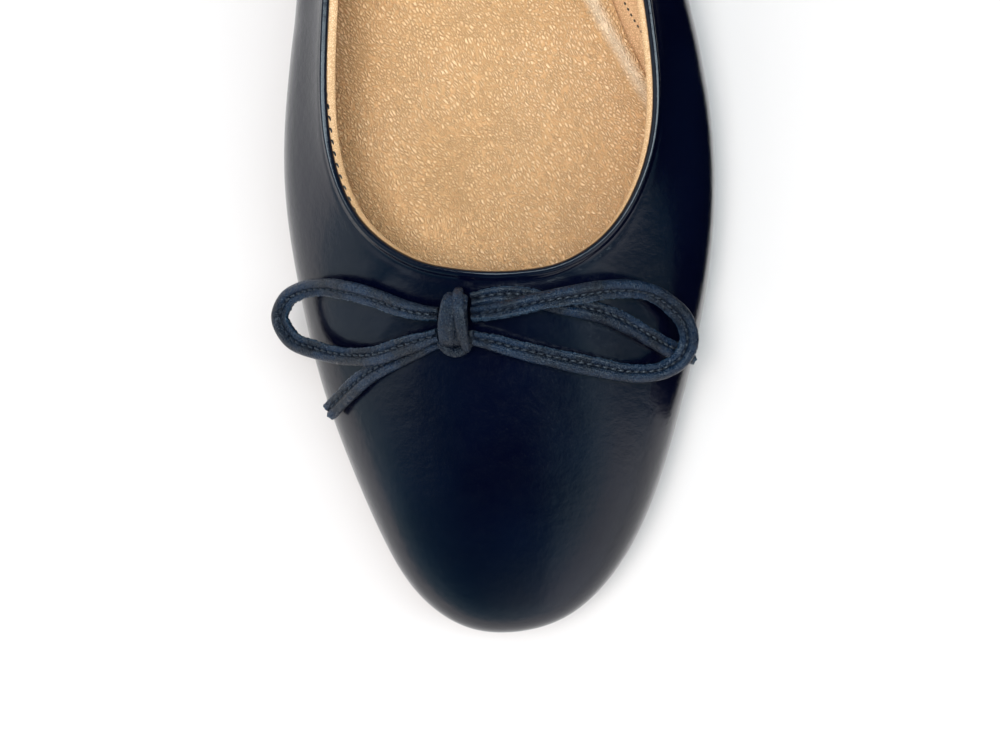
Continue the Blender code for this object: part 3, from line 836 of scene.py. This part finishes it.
def quarter_seam():
    """Short dark stitches where the two parts of the lining meet, across the slope of the arch."""
    knots = np.array(SEAM)
    fine = np.linspace(0, len(knots) - 1, 400)
    column, row = (np.interp(fine, np.arange(len(knots)), knots[:, k]) for k in (0, 1))
    out = unit(between(WALL_OUT, row, column))
    line = between(WALL_POINTS, row, column) - out * (WALL + 0.00006)
    run = run_length(line)
    wanted = np.arange(0.0005, run[-1], SEAM_PITCH)
    middle, over, along = at_runs(run, wanted, line, out, np.gradient(line, axis=0))
    return make_stitches("quarter_seam", middle, along, -over, SEAM_STITCH)


QUARTER = quarter_seam()

# %% [markdown]
# ## The insole
# The tan sock covers a board that fills the space between the folded margins. Its edge is turned down and
# its middle is a little hollow where the foot presses. It is a plate: rings for the edge, and a lid whose
# points run straight across the shoe from each place on the inner side to the one facing it.

# %% Plates: edge rings with a modelled lid
LID_STEPS = 64


def lid(ring, first, height):
    """Points and faces over a closed ring, from side to side. Every point gets its height from its place."""
    count = len(ring)
    half = count // 2
    share = (np.arange(1, LID_STEPS) / LID_STEPS)[None, :, None]
    flat = ring[1:half][:, None, :2] * (1 - share) + ring[:half:-1][:, None, :2] * share
    inside = np.concatenate([flat, height(flat[..., 0], flat[..., 1])[..., None]], axis=2)
    table = np.arange((half - 1) * (LID_STEPS - 1)).reshape(half - 1, LID_STEPS - 1) + first + count
    left = np.arange(1, half)[:, None] + first
    right = (count - np.arange(1, half))[:, None] + first
    table = np.hstack([left, table, right])
    corners = (table[:-1, :-1], table[1:, :-1], table[1:, 1:], table[:-1, 1:])
    quads = np.stack(corners, axis=-1).reshape(-1, 4)
    toe = [(first, int(a), int(b)) for a, b in zip(table[0, :-1], table[0, 1:])]
    heel = [(first + half, int(b), int(a)) for a, b in zip(table[-1, :-1], table[-1, 1:])]
    return inside.reshape(-1, 3), quads.tolist() + toe + heel


def make_plate(name, rings, top_height, bottom_height=None, value=None):
    """A plate from bottom ring to top ring with a modelled lid on top, and one below or straight faces.

    value is a function of plan position that the materials can read as "ridge"."""
    count = len(rings[0])
    points = np.concatenate(rings)
    faces = ring_quads(len(rings), count).tolist()
    extra, more = lid(rings[-1], len(points) - count, top_height)
    points = np.concatenate([points, extra])
    faces += more
    if bottom_height is None:
        k = np.arange(1, count // 2 - 1)
        faces += np.stack([k, count - k, count - k - 1, k + 1], axis=-1).tolist()
        faces += [(0, count - 1, 1), (count // 2 - 1, count // 2 + 1, count // 2)]
    else:
        extra, more = lid(rings[0], 0, bottom_height)
        shift = len(points) - count
        for face in more:
            faces.append(tuple(corner + shift if corner >= count else corner for corner in face)[::-1])
        points = np.concatenate([points, extra])
    values = {"ridge": value(points[:, 0], points[:, 1])} if value else None
    return make_piece(name, points, faces, values)


# %% Insole
INSOLE_GAP = 0.0006
INSOLE_CLEAR = 0.00004
INSOLE_REACH = 0.22
INSOLE_EDGE = 0.0006
# The hollows under the ball, the heel and the big toe: place, reach across and along, depth.
FOOT_PRESS = (
    (0.0020, -0.0420, 0.0250, 0.0300, 0.00045),
    (-0.0010, 0.0930, 0.0190, 0.0260, 0.00060),
    (0.0150, -0.0820, 0.0100, 0.0120, 0.00025),
)
ARCH_ROLL = 0.0008
ROLL_AT = (0.0022, 0.0042)
ROLL_WIDE = 0.0018


def insole_inset():
    """The edge's inset and height: a place on the wall's turn, moved inwards square to the curve."""
    a, b, c, d = handles = turn_handles(LAST)
    t = INSOLE_REACH * (1 - ARCH_EASE * LAST["arch"])
    along = (1 - t) ** 2 * (b - a) + 2 * (1 - t) * t * (c - b) + t * t * (d - c)
    inset, height = along / np.hypot(*along)
    return cubic(handles, t) + (WALL + INSOLE_CLEAR) * np.array([height, -inset])


def foot_press(x, y):
    """Shallow hollows: depth * exp(-(dx/a)^2 - (dy/b)^2)."""
    hollows = [
        deep * np.exp(-(((x - cx) / a) ** 2) - ((y - cy) / b) ** 2) for cx, cy, a, b, deep in FOOT_PRESS
    ]
    return np.sum(hollows, axis=0)


def arch_roll(x, y):
    """1 on the crest of the roll along the arch, fading to 0 away from it."""
    edge = drawn_in(LAST, insole_inset()[0])[1 : COLUMNS // 2]
    inside = np.interp(y, edge[:, 1], edge[:, 0]) - x
    arch = np.interp(y, edge[:, 1], LAST["arch"][1 : COLUMNS // 2])
    middle = ROLL_AT[0] + (ROLL_AT[1] - ROLL_AT[0]) * soft_step(y, -0.016, 0.004)
    return soft_step(arch, 0.25, 0.75) * np.exp(-(((inside - middle) / ROLL_WIDE) ** 2))


def insole_height(x, y):
    """Top of the insole: sole, board and sock, less the hollows, plus the roll and some unevenness."""
    broad = 0.00010 * np.sin(x / 0.0063 + 1.3) * np.sin(y / 0.0087)
    uneven = broad + 0.00006 * np.sin(x / 0.0029 + y / 0.0041)
    plain = sole_top(y) + GAP + WALL + INSOLE_GAP + INSOLE
    return plain - foot_press(x, y) + uneven + ARCH_ROLL * arch_roll(x, y)


def make_insole():
    """Rings up the plate's edge, the last few over its rounded shoulder."""
    foot = LAST["tuck"] + FEATHER_ROUND
    core = drawn_in(LAST, foot + MARGIN + INSOLE_GAP)
    seat = GAP + WALL + INSOLE_GAP
    inset, height = insole_inset()
    rings = [raised(core, GAP), raised(core, seat), raised(drawn_in(LAST, foot), seat)]
    rings.append(raised(drawn_in(LAST, inset), np.minimum(height, seat + 0.0008)))
    edge = INSOLE_EDGE * (1 - 0.75 * LAST["arch"])
    for a in np.radians(np.linspace(0, 90, 7)):
        flat = drawn_in(LAST, inset + edge * (1 - math.cos(a)))
        top = insole_height(flat[:, 0], flat[:, 1])
        rings.append(np.column_stack([flat, top - edge * (1 - math.sin(a))]))
    return make_plate("insole_sock", rings, insole_height, value=arch_roll)


SOCK = make_insole()
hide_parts("insole")

# %% [markdown]
# ## Sole and heel
# The outsole is a thin plate of black rubber. Under its heel seat sits a low block covered in black
# leather, and under that the rubber top piece that takes the wear. The solids' sharp edges are rounded
# here, since real ones catch a line of light.

# %% Outsole
SOLE_ROUND = 0.0009


def make_outsole():
    """Rings round the rolled lower edge, up the side with a slight swell, and over the broken upper edge."""
    tuck = LAST["tuck"]
    rings = []
    for a in np.radians(np.linspace(0, 90, 7)):
        flat = drawn_in(LAST, tuck + SOLE_ROUND * (1 - math.sin(a)))
        rings.append(np.column_stack([flat, underside(flat[:, 1]) + SOLE_ROUND * (1 - math.cos(a))]))
    for share in (0.3, 0.6, 0.85):
        flat = drawn_in(LAST, tuck - 0.00012 * math.sin(math.pi * share))
        height = underside(flat[:, 1]) + SOLE_ROUND + (SOLE - SOLE_ROUND) * share
        rings.append(np.column_stack([flat, height]))
    rings.append(raised(drawn_in(LAST, tuck + 0.0003), 0))
    return make_plate("outsole_rubber", rings, lambda x, y: sole_top(y), lambda x, y: underside(y))


OUTSOLE = make_outsole()
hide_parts("outsole")

# %% Heel block and top piece
BREAST_STEPS = 40


def heel_outline(inset):
    """The part of the sole's outline behind the breast, closed by the breast's shallow curve."""
    flat = drawn_in(LAST, LAST["tuck"] + SOLE_CHAMFER + inset)
    line = (BREAST - 0.5) * LENGTH + inset
    behind = flat[flat[:, 1] > line]
    share = (np.arange(1, BREAST_STEPS) / BREAST_STEPS)[:, None]
    across = behind[-1][0] * (1 - share) + behind[0][0] * share
    return np.concatenate([behind, np.hstack([across, line + BREAST_CURVE * np.sin(math.pi * share)])])


def make_block(name, levels):
    """A solid through outlines of equal count at rising levels, with a flat face below and above."""
    outlines = [np.pad(heel_outline(inset), ((0, 0), (0, 1)), constant_values=z) for inset, z in levels]
    fewest = min(len(outline) for outline in outlines)
    even = []
    for outline in outlines:
        closed = np.vstack([outline, outline[:1]])
        run = run_length(closed)
        even.append(at_runs(run, np.linspace(0, 1, fewest, endpoint=False) * run[-1], closed)[0])
    faces = ring_quads(len(even), fewest).tolist()
    faces += [tuple(range(fewest))[::-1], tuple(range((len(even) - 1) * fewest, len(even) * fewest))]
    return make_piece(name, np.array(even), faces)


# Each level: how far the outline is drawn in, and its height.
HEEL_LEVELS = (
    (HEEL_TAPER + 0.0002, TOP_PIECE + GAP), (HEEL_TAPER, TOP_PIECE + GAP + 0.0002),
    (HEEL_TAPER * 0.6, (TOP_PIECE + HEEL) / 2), (0.0, HEEL - GAP - 0.0003), (0.0003, HEEL - GAP),
)
TOP_PIECE_LEVELS = (
    (HEEL_TAPER + 0.0005, 0.0), (HEEL_TAPER + 0.00015, 0.00015), (HEEL_TAPER, 0.0005),
    (HEEL_TAPER, TOP_PIECE - 0.0003), (HEEL_TAPER + 0.0003, TOP_PIECE),
)
HEEL_BLOCK = make_block("heel_cover", HEEL_LEVELS)
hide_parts("heel_block")
RUBBER = make_block("heel_rubber", TOP_PIECE_LEVELS)
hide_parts("heel_top_piece")

# %% [markdown]
# ## Finishes
# All the leathers share two effects: the grain of the skin, and a slow change of tone from wear. Each is
# built once as a node group that gives out only masks and heights. The shader stays in the material, with
# its plain values on its own sockets.


# %% Small helpers for node trees
def add(tree, kind, inputs=None, **settings):
    """A node of a kind. settings are its own properties, inputs the values or sockets for its sockets."""
    made = tree.nodes.new("ShaderNode" + kind)
    for name, value in settings.items():
        setattr(made, name, value)
    for name, value in (inputs or {}).items():
        if isinstance(value, bpy.types.NodeSocket):
            tree.links.new(value, made.inputs[name])
        else:
            made.inputs[name].default_value = value
    return made


def calc(tree, operation, *values):
    """The named operation on values or sockets."""
    return add(tree, "Math", dict(enumerate(values)), operation=operation).outputs[0]


def noise(tree, place, scale, detail=2.0, **more):
    """Smooth noise between 0 and 1."""
    return add(tree, "TexNoise", {"Vector": place, "Scale": scale, "Detail": detail, **more}).outputs[0]


def ranged(tree, value, low, high, start=0.3, end=0.7):
    """low + (value - start) / (end - start) * (high - low), held between low and high."""
    spans = {"Value": value, "From Min": start, "From Max": end, "To Min": low, "To Max": high}
    return add(tree, "MapRange", spans).outputs[0]


def blend(tree, factor, low, high, **settings):
    """A colour between two, by a factor."""
    return add(tree, "Mix", {"Factor": factor, 6: low, 7: high}, data_type="RGBA", **settings).outputs[2]


def bump(tree, height, strength, distance, under=None):
    """The normal of a height, laid over another normal if there is one."""
    spans = {"Height": height, "Strength": strength, "Distance": distance}
    return add(tree, "Bump", {**spans, "Normal": under} if under else spans).outputs[0]


def displaced(tree, place, scale, detail, amount):
    """The place moved by noise: place + (noise - 0.5) * amount."""
    push = noise(tree, place, scale, detail).node.outputs["Color"]
    push = add(tree, "VectorMath", {0: push, 1: (0.5, 0.5, 0.5)}, operation="SUBTRACT").outputs[0]
    push = add(tree, "VectorMath", {0: push, "Scale": amount}, operation="SCALE").outputs[0]
    return add(tree, "VectorMath", {0: place, 1: push}).outputs[0]


def group_of(name, numbers, outputs):
    """An empty node group: a vector and numbers come in, masks and heights go out."""
    tree = bpy.data.node_groups.new(name, "ShaderNodeTree")
    tree.interface.new_socket("Vector", in_out="INPUT", socket_type="NodeSocketVector")
    for label, value in numbers.items():
        tree.interface.new_socket(label, in_out="INPUT", socket_type="NodeSocketFloat").default_value = value
    for label in outputs:
        tree.interface.new_socket(label, in_out="OUTPUT", socket_type="NodeSocketFloat")
    return tree, tree.nodes.new("NodeGroupInput").outputs, tree.nodes.new("NodeGroupOutput").inputs


def new_material(name, coat=0.0, coat_rough=0.03, sheen=0.0, specular=0.5):
    """A material with its shader's plain values, its nodes and the place on the piece."""
    made = bpy.data.materials.new(name)
    made.use_nodes = True
    shader = made.node_tree.nodes["Principled BSDF"]
    shader.inputs["Coat Weight"].default_value = coat
    shader.inputs["Coat Roughness"].default_value = coat_rough
    shader.inputs["Sheen Weight"].default_value = sheen
    shader.inputs["Specular IOR Level"].default_value = specular
    return made, made.node_tree, add(made.node_tree, "TexCoord").outputs["Object"]


def wire(material, colour, rough=None, normal=None):
    """Joins colour, roughness and normal to the shader."""
    tree = material.node_tree
    for label, value in (("Base Color", colour), ("Roughness", rough), ("Normal", normal)):
        if value:
            tree.links.new(value, tree.nodes["Principled BSDF"].inputs[label])
    return material


def cover(material, *pieces):
    """Gives whole pieces one material."""
    for piece in pieces:
        piece.data.materials.clear()
        piece.data.materials.append(material)
    print(material.name, "on", ", ".join(piece.name for piece in pieces))


# %% Leather grain and slow changes of tone
def leather_grain():
    """Pebbles between fine creases: a warped pattern of cells, high away from their borders, and speckled."""
    numbers = {"Cells per metre": 1500.0, "Warp": 0.0004, "Softness": 0.30}
    tree, start, end = group_of("leather_grain", numbers, ("Height", "Creases"))
    place, cells = start["Vector"], start["Cells per metre"]
    moved = displaced(tree, place, calc(tree, "MULTIPLY", cells, 0.35), 2.0, start["Warp"])
    cell = add(tree, "TexVoronoi", {"Vector": moved, "Scale": cells}, feature="DISTANCE_TO_EDGE")
    spans = {"Value": cell.outputs["Distance"], "From Min": 0.0, "From Max": start["Softness"]}
    pebble = add(tree, "MapRange", spans, interpolation_type="SMOOTHSTEP").outputs[0]
    speckle = noise(tree, moved, calc(tree, "MULTIPLY", cells, 2.3), 3.0, Roughness=0.6)
    tree.links.new(calc(tree, "MULTIPLY_ADD", speckle, 0.35, pebble), end["Height"])
    tree.links.new(calc(tree, "SUBTRACT", 1.0, pebble), end["Creases"])
    return tree


def worn_tone():
    """Two sizes of smooth noise: broad patches of handling, and finer mottling on top of them."""
    tree, start, end = group_of("worn_tone", {"Patches per metre": 40.0, "Contrast": 1.0}, ("Tone", "Mottle"))
    place, patches = start["Vector"], start["Patches per metre"]
    centred = calc(tree, "SUBTRACT", noise(tree, place, patches, 3.0), 0.5)
    tree.links.new(calc(tree, "MULTIPLY_ADD", centred, start["Contrast"], 0.5), end["Tone"])
    finer = calc(tree, "MULTIPLY", patches, 9.0)
    tree.links.new(noise(tree, place, finer, 4.0, Roughness=0.65), end["Mottle"])
    return tree


GRAIN = leather_grain()
TONE = worn_tone()


def grain_of(tree, place, cells, warp, softness):
    """The grain with a material's own values: its height and its creases."""
    values = {"Vector": place, "Cells per metre": cells, "Warp": warp, "Softness": softness}
    made = add(tree, "Group", values, node_tree=GRAIN)
    return made.outputs["Height"], made.outputs["Creases"]


def tone_of(tree, place, patches, contrast):
    """The tone with a material's own values: the patches from 0 to 1, and the mottling."""
    values = {"Vector": place, "Patches per metre": patches, "Contrast": contrast}
    made = add(tree, "Group", values, node_tree=TONE)
    return ranged(tree, made.outputs["Tone"], 0, 1), made.outputs["Mottle"]


print("groups:", GRAIN.name, TONE.name)

# %% [markdown]
# ### Navy calf
# Dyed calf is nearly black, and almost all that the eye sees of its form is reflection. So the base colour
# is very dark, the roughness moderate with a thin, smoother coat of polish, and the grain breaks up the
# reflections' edges.

# %% Navy calf material
NAVY_DYE = ((0.0001, 0.0004, 0.0048, 1), (0.0003, 0.0011, 0.0070, 1))


def navy_calf():
    """Two dark blues in slow patches, with fine grain and slow unevenness."""
    made, tree, place = new_material("navy_calf", coat=0.22, coat_rough=0.09, specular=0.36)
    height, _ = grain_of(tree, place, 2600.0, 0.0003, 0.30)
    tone, mottle = tone_of(tree, place, 45.0, 1.4)
    normal = bump(tree, mottle, 0.25, 0.0004, bump(tree, height, 0.12, 0.00006))
    return wire(made, blend(tree, tone, *NAVY_DYE), ranged(tree, mottle, 0.16, 0.22), normal)


cover(navy_calf(), NAVY)

# %% [markdown]
# ### Cord leather and threads
# The cord is cut from softer, unpolished leather. It is a shade bluer and matt, and crumpled where the
# strip is folded. The raw edge shows the fibres, lighter and greyer than the dyed face.

# %% Cord leather material
CORD_DYE = ((0.0002, 0.0022, 0.0090, 1), (0.0020, 0.0105, 0.0300, 1))
FIBRES = (0.010, 0.026, 0.050, 1)
# Painted shade for the groove between the bead and the flange.
GROOVE_PAINTED_SHADE = (0.0015, 0.0028, 0.0085, 1)


def cord_leather():
    """Two blues in patches, fibres at the raw edge and painted shade in the groove, over grain and crumpling.
    """
    made, tree, place = new_material("cord_leather_folded", coat=0.10, coat_rough=0.15, specular=0.50)
    height, _ = grain_of(tree, place, 3000.0, 0.0004, 0.4)
    tone, mottle = tone_of(tree, place, 160.0, 2.0)
    raw, groove = (add(tree, "Attribute", attribute_name=name).outputs["Fac"] for name in ("raw", "groove"))
    colour = blend(tree, groove, blend(tree, raw, blend(tree, tone, *CORD_DYE), FIBRES), GROOVE_PAINTED_SHADE)
    crumple = noise(tree, place, 900.0, Distortion=0.6)
    normal = bump(tree, crumple, 0.9, 0.0005, bump(tree, height, 0.8, 0.00018))
    return wire(made, colour, ranged(tree, mottle, 0.22, 0.38), normal)


cover(cord_leather(), *(cord[0] for cord in CORDS.values()), KNOT)


# %% Threads
def thread(name, colour, rough):
    """Waxed thread: one colour, slightly uneven, with a twist of fine bumps."""
    made, tree, place = new_material(name, sheen=0.15)
    twist = noise(tree, place, 9000.0, 1.0)
    darker = tuple(channel * 0.55 for channel in colour[:3]) + (1.0,)
    rough = ranged(tree, twist, rough - 0.08, rough + 0.08)
    return wire(made, blend(tree, twist, darker, colour), rough, bump(tree, twist, 0.4, 0.00005))


cover(thread("cord_thread", (0.006, 0.012, 0.024, 1), 0.42), *CORD_STITCHES.values())
cover(thread("black_thread", (0.0035, 0.0035, 0.0050, 1), 0.5), TOPLINE)
cover(thread("brown_thread", (0.045, 0.022, 0.010, 1), 0.5), QUARTER)

# %% [markdown]
# ### Tan leather
# The sock is a pebbled skin: long, low grains that run slantwise over the foot bed, shiny on their tops.
# The lining is the same leather shaved thin, with hardly any grain left. One function makes both, with
# other values.

# %% Tan leather materials
# DEEPER: shares of the dark tan used for painted shade, in the grain's creases and towards the toe.
DEEPER = (0.68, 0.58, 0.46)
# RIDGE_HIGHLIGHT: a paler tan painted on the roll along the arch as a highlight on its crest.
RIDGE_HIGHLIGHT = (0.95, 0.76, 0.56, 1)
# Painted shade under the vamp: the tan darkens between these two places along the shoe, most towards the toe.
TOE_SHADE_FROM = -0.058
TOE_SHADE_TO = -0.012


def tan_leather(name, light, dark, cells, depth, lean, stretch):
    """Pebbled tan leather: turned by lean, drawn out by stretch, with painted shade in the creases and
    towards the toe, and a painted highlight on the ridge.
    """
    made, tree, place = new_material(name, coat=0.08, coat_rough=0.30, sheen=0.05)
    bent = displaced(tree, place, 55.0, 1.0, 0.005)
    spans = {"Vector": bent, "Rotation": (0, 0, math.radians(lean)), "Scale": (1.0, stretch, 1.0)}
    turned = add(tree, "Mapping", spans, vector_type="TEXTURE").outputs[0]
    height, creases = grain_of(tree, turned, cells, 0.0005, 0.34)
    tone, mottle = tone_of(tree, place, 60.0, 1.5)
    deep = tuple(channel * share for channel, share in zip(dark, DEEPER)) + (1.0,)
    # Darker in the grain's creases: painted shade, with some of the dye that gathers there.
    tone_and_painted_shade = blend(tree, ranged(tree, creases, 0.0, 0.90, 0.25, 1.0), blend(tree, tone, dark, light), deep)
    # Painted shade: darker towards the toe, where the vamp overhangs the sock and lining.
    ahead = add(tree, "SeparateXYZ", {0: place}).outputs["Y"]
    tone_and_painted_shade = blend(tree, ranged(tree, ahead, 0.46, 0.0, TOE_SHADE_FROM, TOE_SHADE_TO), tone_and_painted_shade, deep)
    # Painted highlight on the crest of the arch roll, read from the ridge attribute.
    ridge = add(tree, "Attribute", attribute_name="ridge").outputs["Fac"]
    colour = blend(tree, ranged(tree, ridge, 0.0, 0.50, 0.2, 0.9), tone_and_painted_shade, RIDGE_HIGHLIGHT)
    normal = bump(tree, mottle, 0.35, 0.0006, bump(tree, height, 0.8, depth))
    return wire(made, colour, ranged(tree, creases, 0.36, 0.58, 0.0, 1.0), normal)


SOCK_TANS = ((0.90, 0.560, 0.300, 1), (0.82, 0.490, 0.240, 1))
LINING_TANS = ((0.82, 0.52, 0.29, 1), (0.73, 0.44, 0.23, 1))
cover(tan_leather("insole_leather", *SOCK_TANS, cells=2050.0, depth=0.00055, lean=40, stretch=2.3), SOCK)
cover(tan_leather("lining_leather", *LINING_TANS, cells=2600.0, depth=0.00005, lean=0, stretch=1.0), LINING)


# %% Sole and heel materials
def black_finish(name, colour, rough, cells, depth):
    """Black rubber or edge-dyed leather: slightly uneven and dull, with a fine tooth."""
    made, tree, place = new_material(name, specular=0.4)
    height, _ = grain_of(tree, place, cells, 0.0003, 0.5)
    tone, mottle = tone_of(tree, place, 70.0, 1.8)
    worn = tuple(channel * 2.2 + 0.004 for channel in colour[:3]) + (1.0,)
    rough = ranged(tree, mottle, rough - 0.08, rough + 0.12)
    return wire(made, blend(tree, tone, colour, worn), rough, bump(tree, height, 0.4, depth))


cover(black_finish("sole_rubber_black", (0.010, 0.010, 0.011, 1), 0.55, 1800.0, 0.0001), OUTSOLE, RUBBER)
cover(black_finish("heel_cover_black", (0.008, 0.008, 0.010, 1), 0.38, 2600.0, 0.00005), HEEL_BLOCK)

# %% [markdown]
# ## Light
# The shoe lies on white paper. Smooth dark leather is a mirror of its surroundings, so they are painted as a
# sky that fades upwards. It stays bright to a steep height beyond the inner side of the toe, and is in shade
# beside the rest of the inner side. Windows stand low on the outer side, nearly overhead and over the inner
# side. Two lamps towards the outer side and the toe, left out of the reflections, light the paper.

# %% Floor
FLOOR_SIZE = 14.0
FLOOR_DROP = 0.0002
PAPER = ((0.644, 0.565, 0.535, 1), (0.662, 0.582, 0.551, 1))


def make_floor():
    """A square of white paper just under the sole."""
    half = FLOOR_SIZE / 2
    mesh = bpy.data.meshes.new("paper_floor")
    corners = [(x, y, -FLOOR_DROP) for x, y in ((-half, -half), (half, -half), (half, half), (-half, half))]
    mesh.from_pydata(corners, [], [(0, 1, 2, 3)])
    paper, tree, place = new_material("white_paper", specular=0.2)
    paper.node_tree.nodes["Principled BSDF"].inputs["Roughness"].default_value = 0.8
    mesh.materials.append(wire(paper, blend(tree, noise(tree, place, 3.0), *PAPER)))
    return put("paper_floor", mesh)


FLOOR = make_floor()
print("floor", FLOOR_SIZE, "m wide")

# %% [markdown]
# The inner side of the shoe faced something dark of its own height, so its leather mirrors no paper there.
# A black card takes that place. It is bent to follow the shoe, and it shows only in reflections.

# %% Dark card
CARD_GAP = 0.0090
CARD_HIGH = 0.034
CARD_FROM = -0.090
CARD_BLACK = ((0.002, 0.003, 0.005, 1), (0.004, 0.006, 0.010, 1))


def make_card():
    """A black wall: the inner outline mirrored across a line beside the shoe, drawn up to its height."""
    side = LAST["widest"][: COLUMNS // 2 - 12]
    side = side[side[:, 1] > CARD_FROM]
    mirrored = np.column_stack([2 * (side[:, 0].max() + CARD_GAP / 2) - side[:, 0], side[:, 1]])
    levels = ((0.0005, 0.002), (0.010, 0.0), (CARD_HIGH, 0.012))
    rows = [np.column_stack([mirrored + (lean, 0), np.full(len(side), z)]) for z, lean in levels]
    mesh = bpy.data.meshes.new("dark_card")
    count = len(side)
    place = np.arange(count - 1)
    lower = np.stack([place, place + 1, place + count + 1, place + count], axis=-1)
    mesh.from_pydata(np.concatenate(rows), [], np.concatenate([lower, lower + count]))
    made = put("dark_card", mesh)
    for ray in ("camera", "diffuse", "shadow", "transmission"):
        setattr(made, "visible_" + ray, False)
    matt, tree, place = new_material("card_black", specular=0.1)
    mesh.materials.append(wire(matt, blend(tree, noise(tree, place, 30.0), *CARD_BLACK)))
    return made


print(make_card().name, "stands beside the shoe")

# %% Surroundings
# The skies are pairs of height and brightness. A window is its reach in the sideways and in the lengthways
# part of the direction, and its brightness.
LEFT_SKY = (
    (0.00, 0.85), (0.12, 0.66), (0.27, 0.52), (0.37, 0.33), (0.50, 0.20), (0.62, 0.14),
    (0.70, 0.10), (0.77, 0.07), (0.83, 0.04), (0.88, 0.01), (0.93, 0.0),
)
RIGHT_SKY = (
    (0.00, 1.20), (0.30, 1.15), (0.40, 1.02), (0.50, 0.98), (0.61, 0.80),
    (0.70, 0.62), (0.77, 0.32), (0.82, 0.14), (0.87, 0.03), (0.92, 0.0),
)
WINDOWS = (
    (-1.00, -0.60, -0.35, 1.00, 0.80), (-0.30, 0.20, -0.08, 0.34, 8.5), (0.20, 0.78, -0.08, 0.26, 6.5),
)
GLASS = (0.80, 0.97, 1.06)
SHADE = (0.01, 0.10, 0.12, 1)


def ramp(tree, value, stops):
    """A brightness read from a list of places and values, joined smoothly. What is dim is bluer."""
    made = add(tree, "ValToRGB", {"Fac": value})
    made.color_ramp.interpolation = "EASE"
    elements = made.color_ramp.elements
    while len(elements) < len(stops):
        elements.new(0.5)
    for element, (spot, bright) in zip(elements, stops):
        element.position = spot
        deep = min(bright, 1.0)
        element.color = (bright * (0.32 + 0.64 * deep**1.3), bright, bright * (1.28 - 0.24 * deep), 1)
    return made.outputs["Color"]


def window_edge(tree, value, start, end, soft=0.03):
    """1 between start and end, falling to 0 over the soft border on either side."""
    rise = ranged(tree, value, 0.0, 1.0, start - soft, start + soft)
    return calc(tree, "MULTIPLY", rise, ranged(tree, value, 1.0, 0.0, end - soft, end + soft))


def make_sky():
    """Brightness by direction: one sky, another beyond the inner side of the toe, shade beside the rest of
    the inner side, and the windows wherever they are brighter."""
    sky = bpy.data.worlds.new("studio")
    sky.use_nodes = True
    tree = sky.node_tree
    x, y, z = add(tree, "SeparateXYZ", {0: add(tree, "TexCoord").outputs["Generated"]}).outputs
    left, right = ramp(tree, z, LEFT_SKY), ramp(tree, z, RIGHT_SKY)
    broad, edge = ranged(tree, x, 0.0, 0.60, -0.25, 0.60), ranged(tree, x, 0.0, 0.40, 0.32, 0.36)
    sideways = calc(tree, "ADD", broad, edge)
    turn = calc(tree, "MULTIPLY", sideways, ranged(tree, y, 1.0, 0.10, -0.31, -0.24))
    aside, back = ranged(tree, x, 0.0, 0.85, 0.50, 0.72), ranged(tree, y, 0.0, 1.0, -0.30, -0.24)
    hidden = calc(tree, "MULTIPLY", aside, back)
    lit = blend(tree, hidden, blend(tree, turn, left, right), SHADE)
    for x0, x1, y0, y1, level in WINDOWS:
        pane = calc(tree, "MULTIPLY", window_edge(tree, x, x0, x1), window_edge(tree, y, y0, y1))
        glass = tuple(tint * level for tint in GLASS)
        shown = add(tree, "VectorMath", {0: glass, "Scale": pane}, operation="SCALE").outputs[0]
        lit = blend(tree, 1.0, lit, shown, blend_type="LIGHTEN")
    background = tree.nodes["Background"]
    tree.links.new(lit, background.inputs["Color"])
    background.inputs["Strength"].default_value = 1.0
    bpy.context.scene.world = sky


make_sky()
print(len(WINDOWS), "windows in the sky")


# %% Lamps
def make_lamp(name, at, size, power):
    """A square soft light that faces the middle of the shoe and shows in no reflection."""
    data = bpy.data.lights.new(name, "AREA")
    data.size = size
    data.energy = power
    made = put(name, data)
    way = -np.array(at, float)
    turn = Matrix.Rotation(math.atan2(way[1], way[0]) + math.pi / 2, 4, "Z")
    tilt = Matrix.Rotation(-math.atan2(math.hypot(way[0], way[1]), -way[2]), 4, "X")
    made.matrix_world = Matrix.Translation(at) @ turn @ tilt
    made.visible_glossy = False
    print(f"{name} lamp: {power} W")


make_lamp("key", (-0.06, -0.12, 1.30), 0.35, 8.9)
make_lamp("fill", (-0.55, -0.75, 0.90), 0.9, 6.0)
bpy.context.scene.view_settings.view_transform = "Standard"
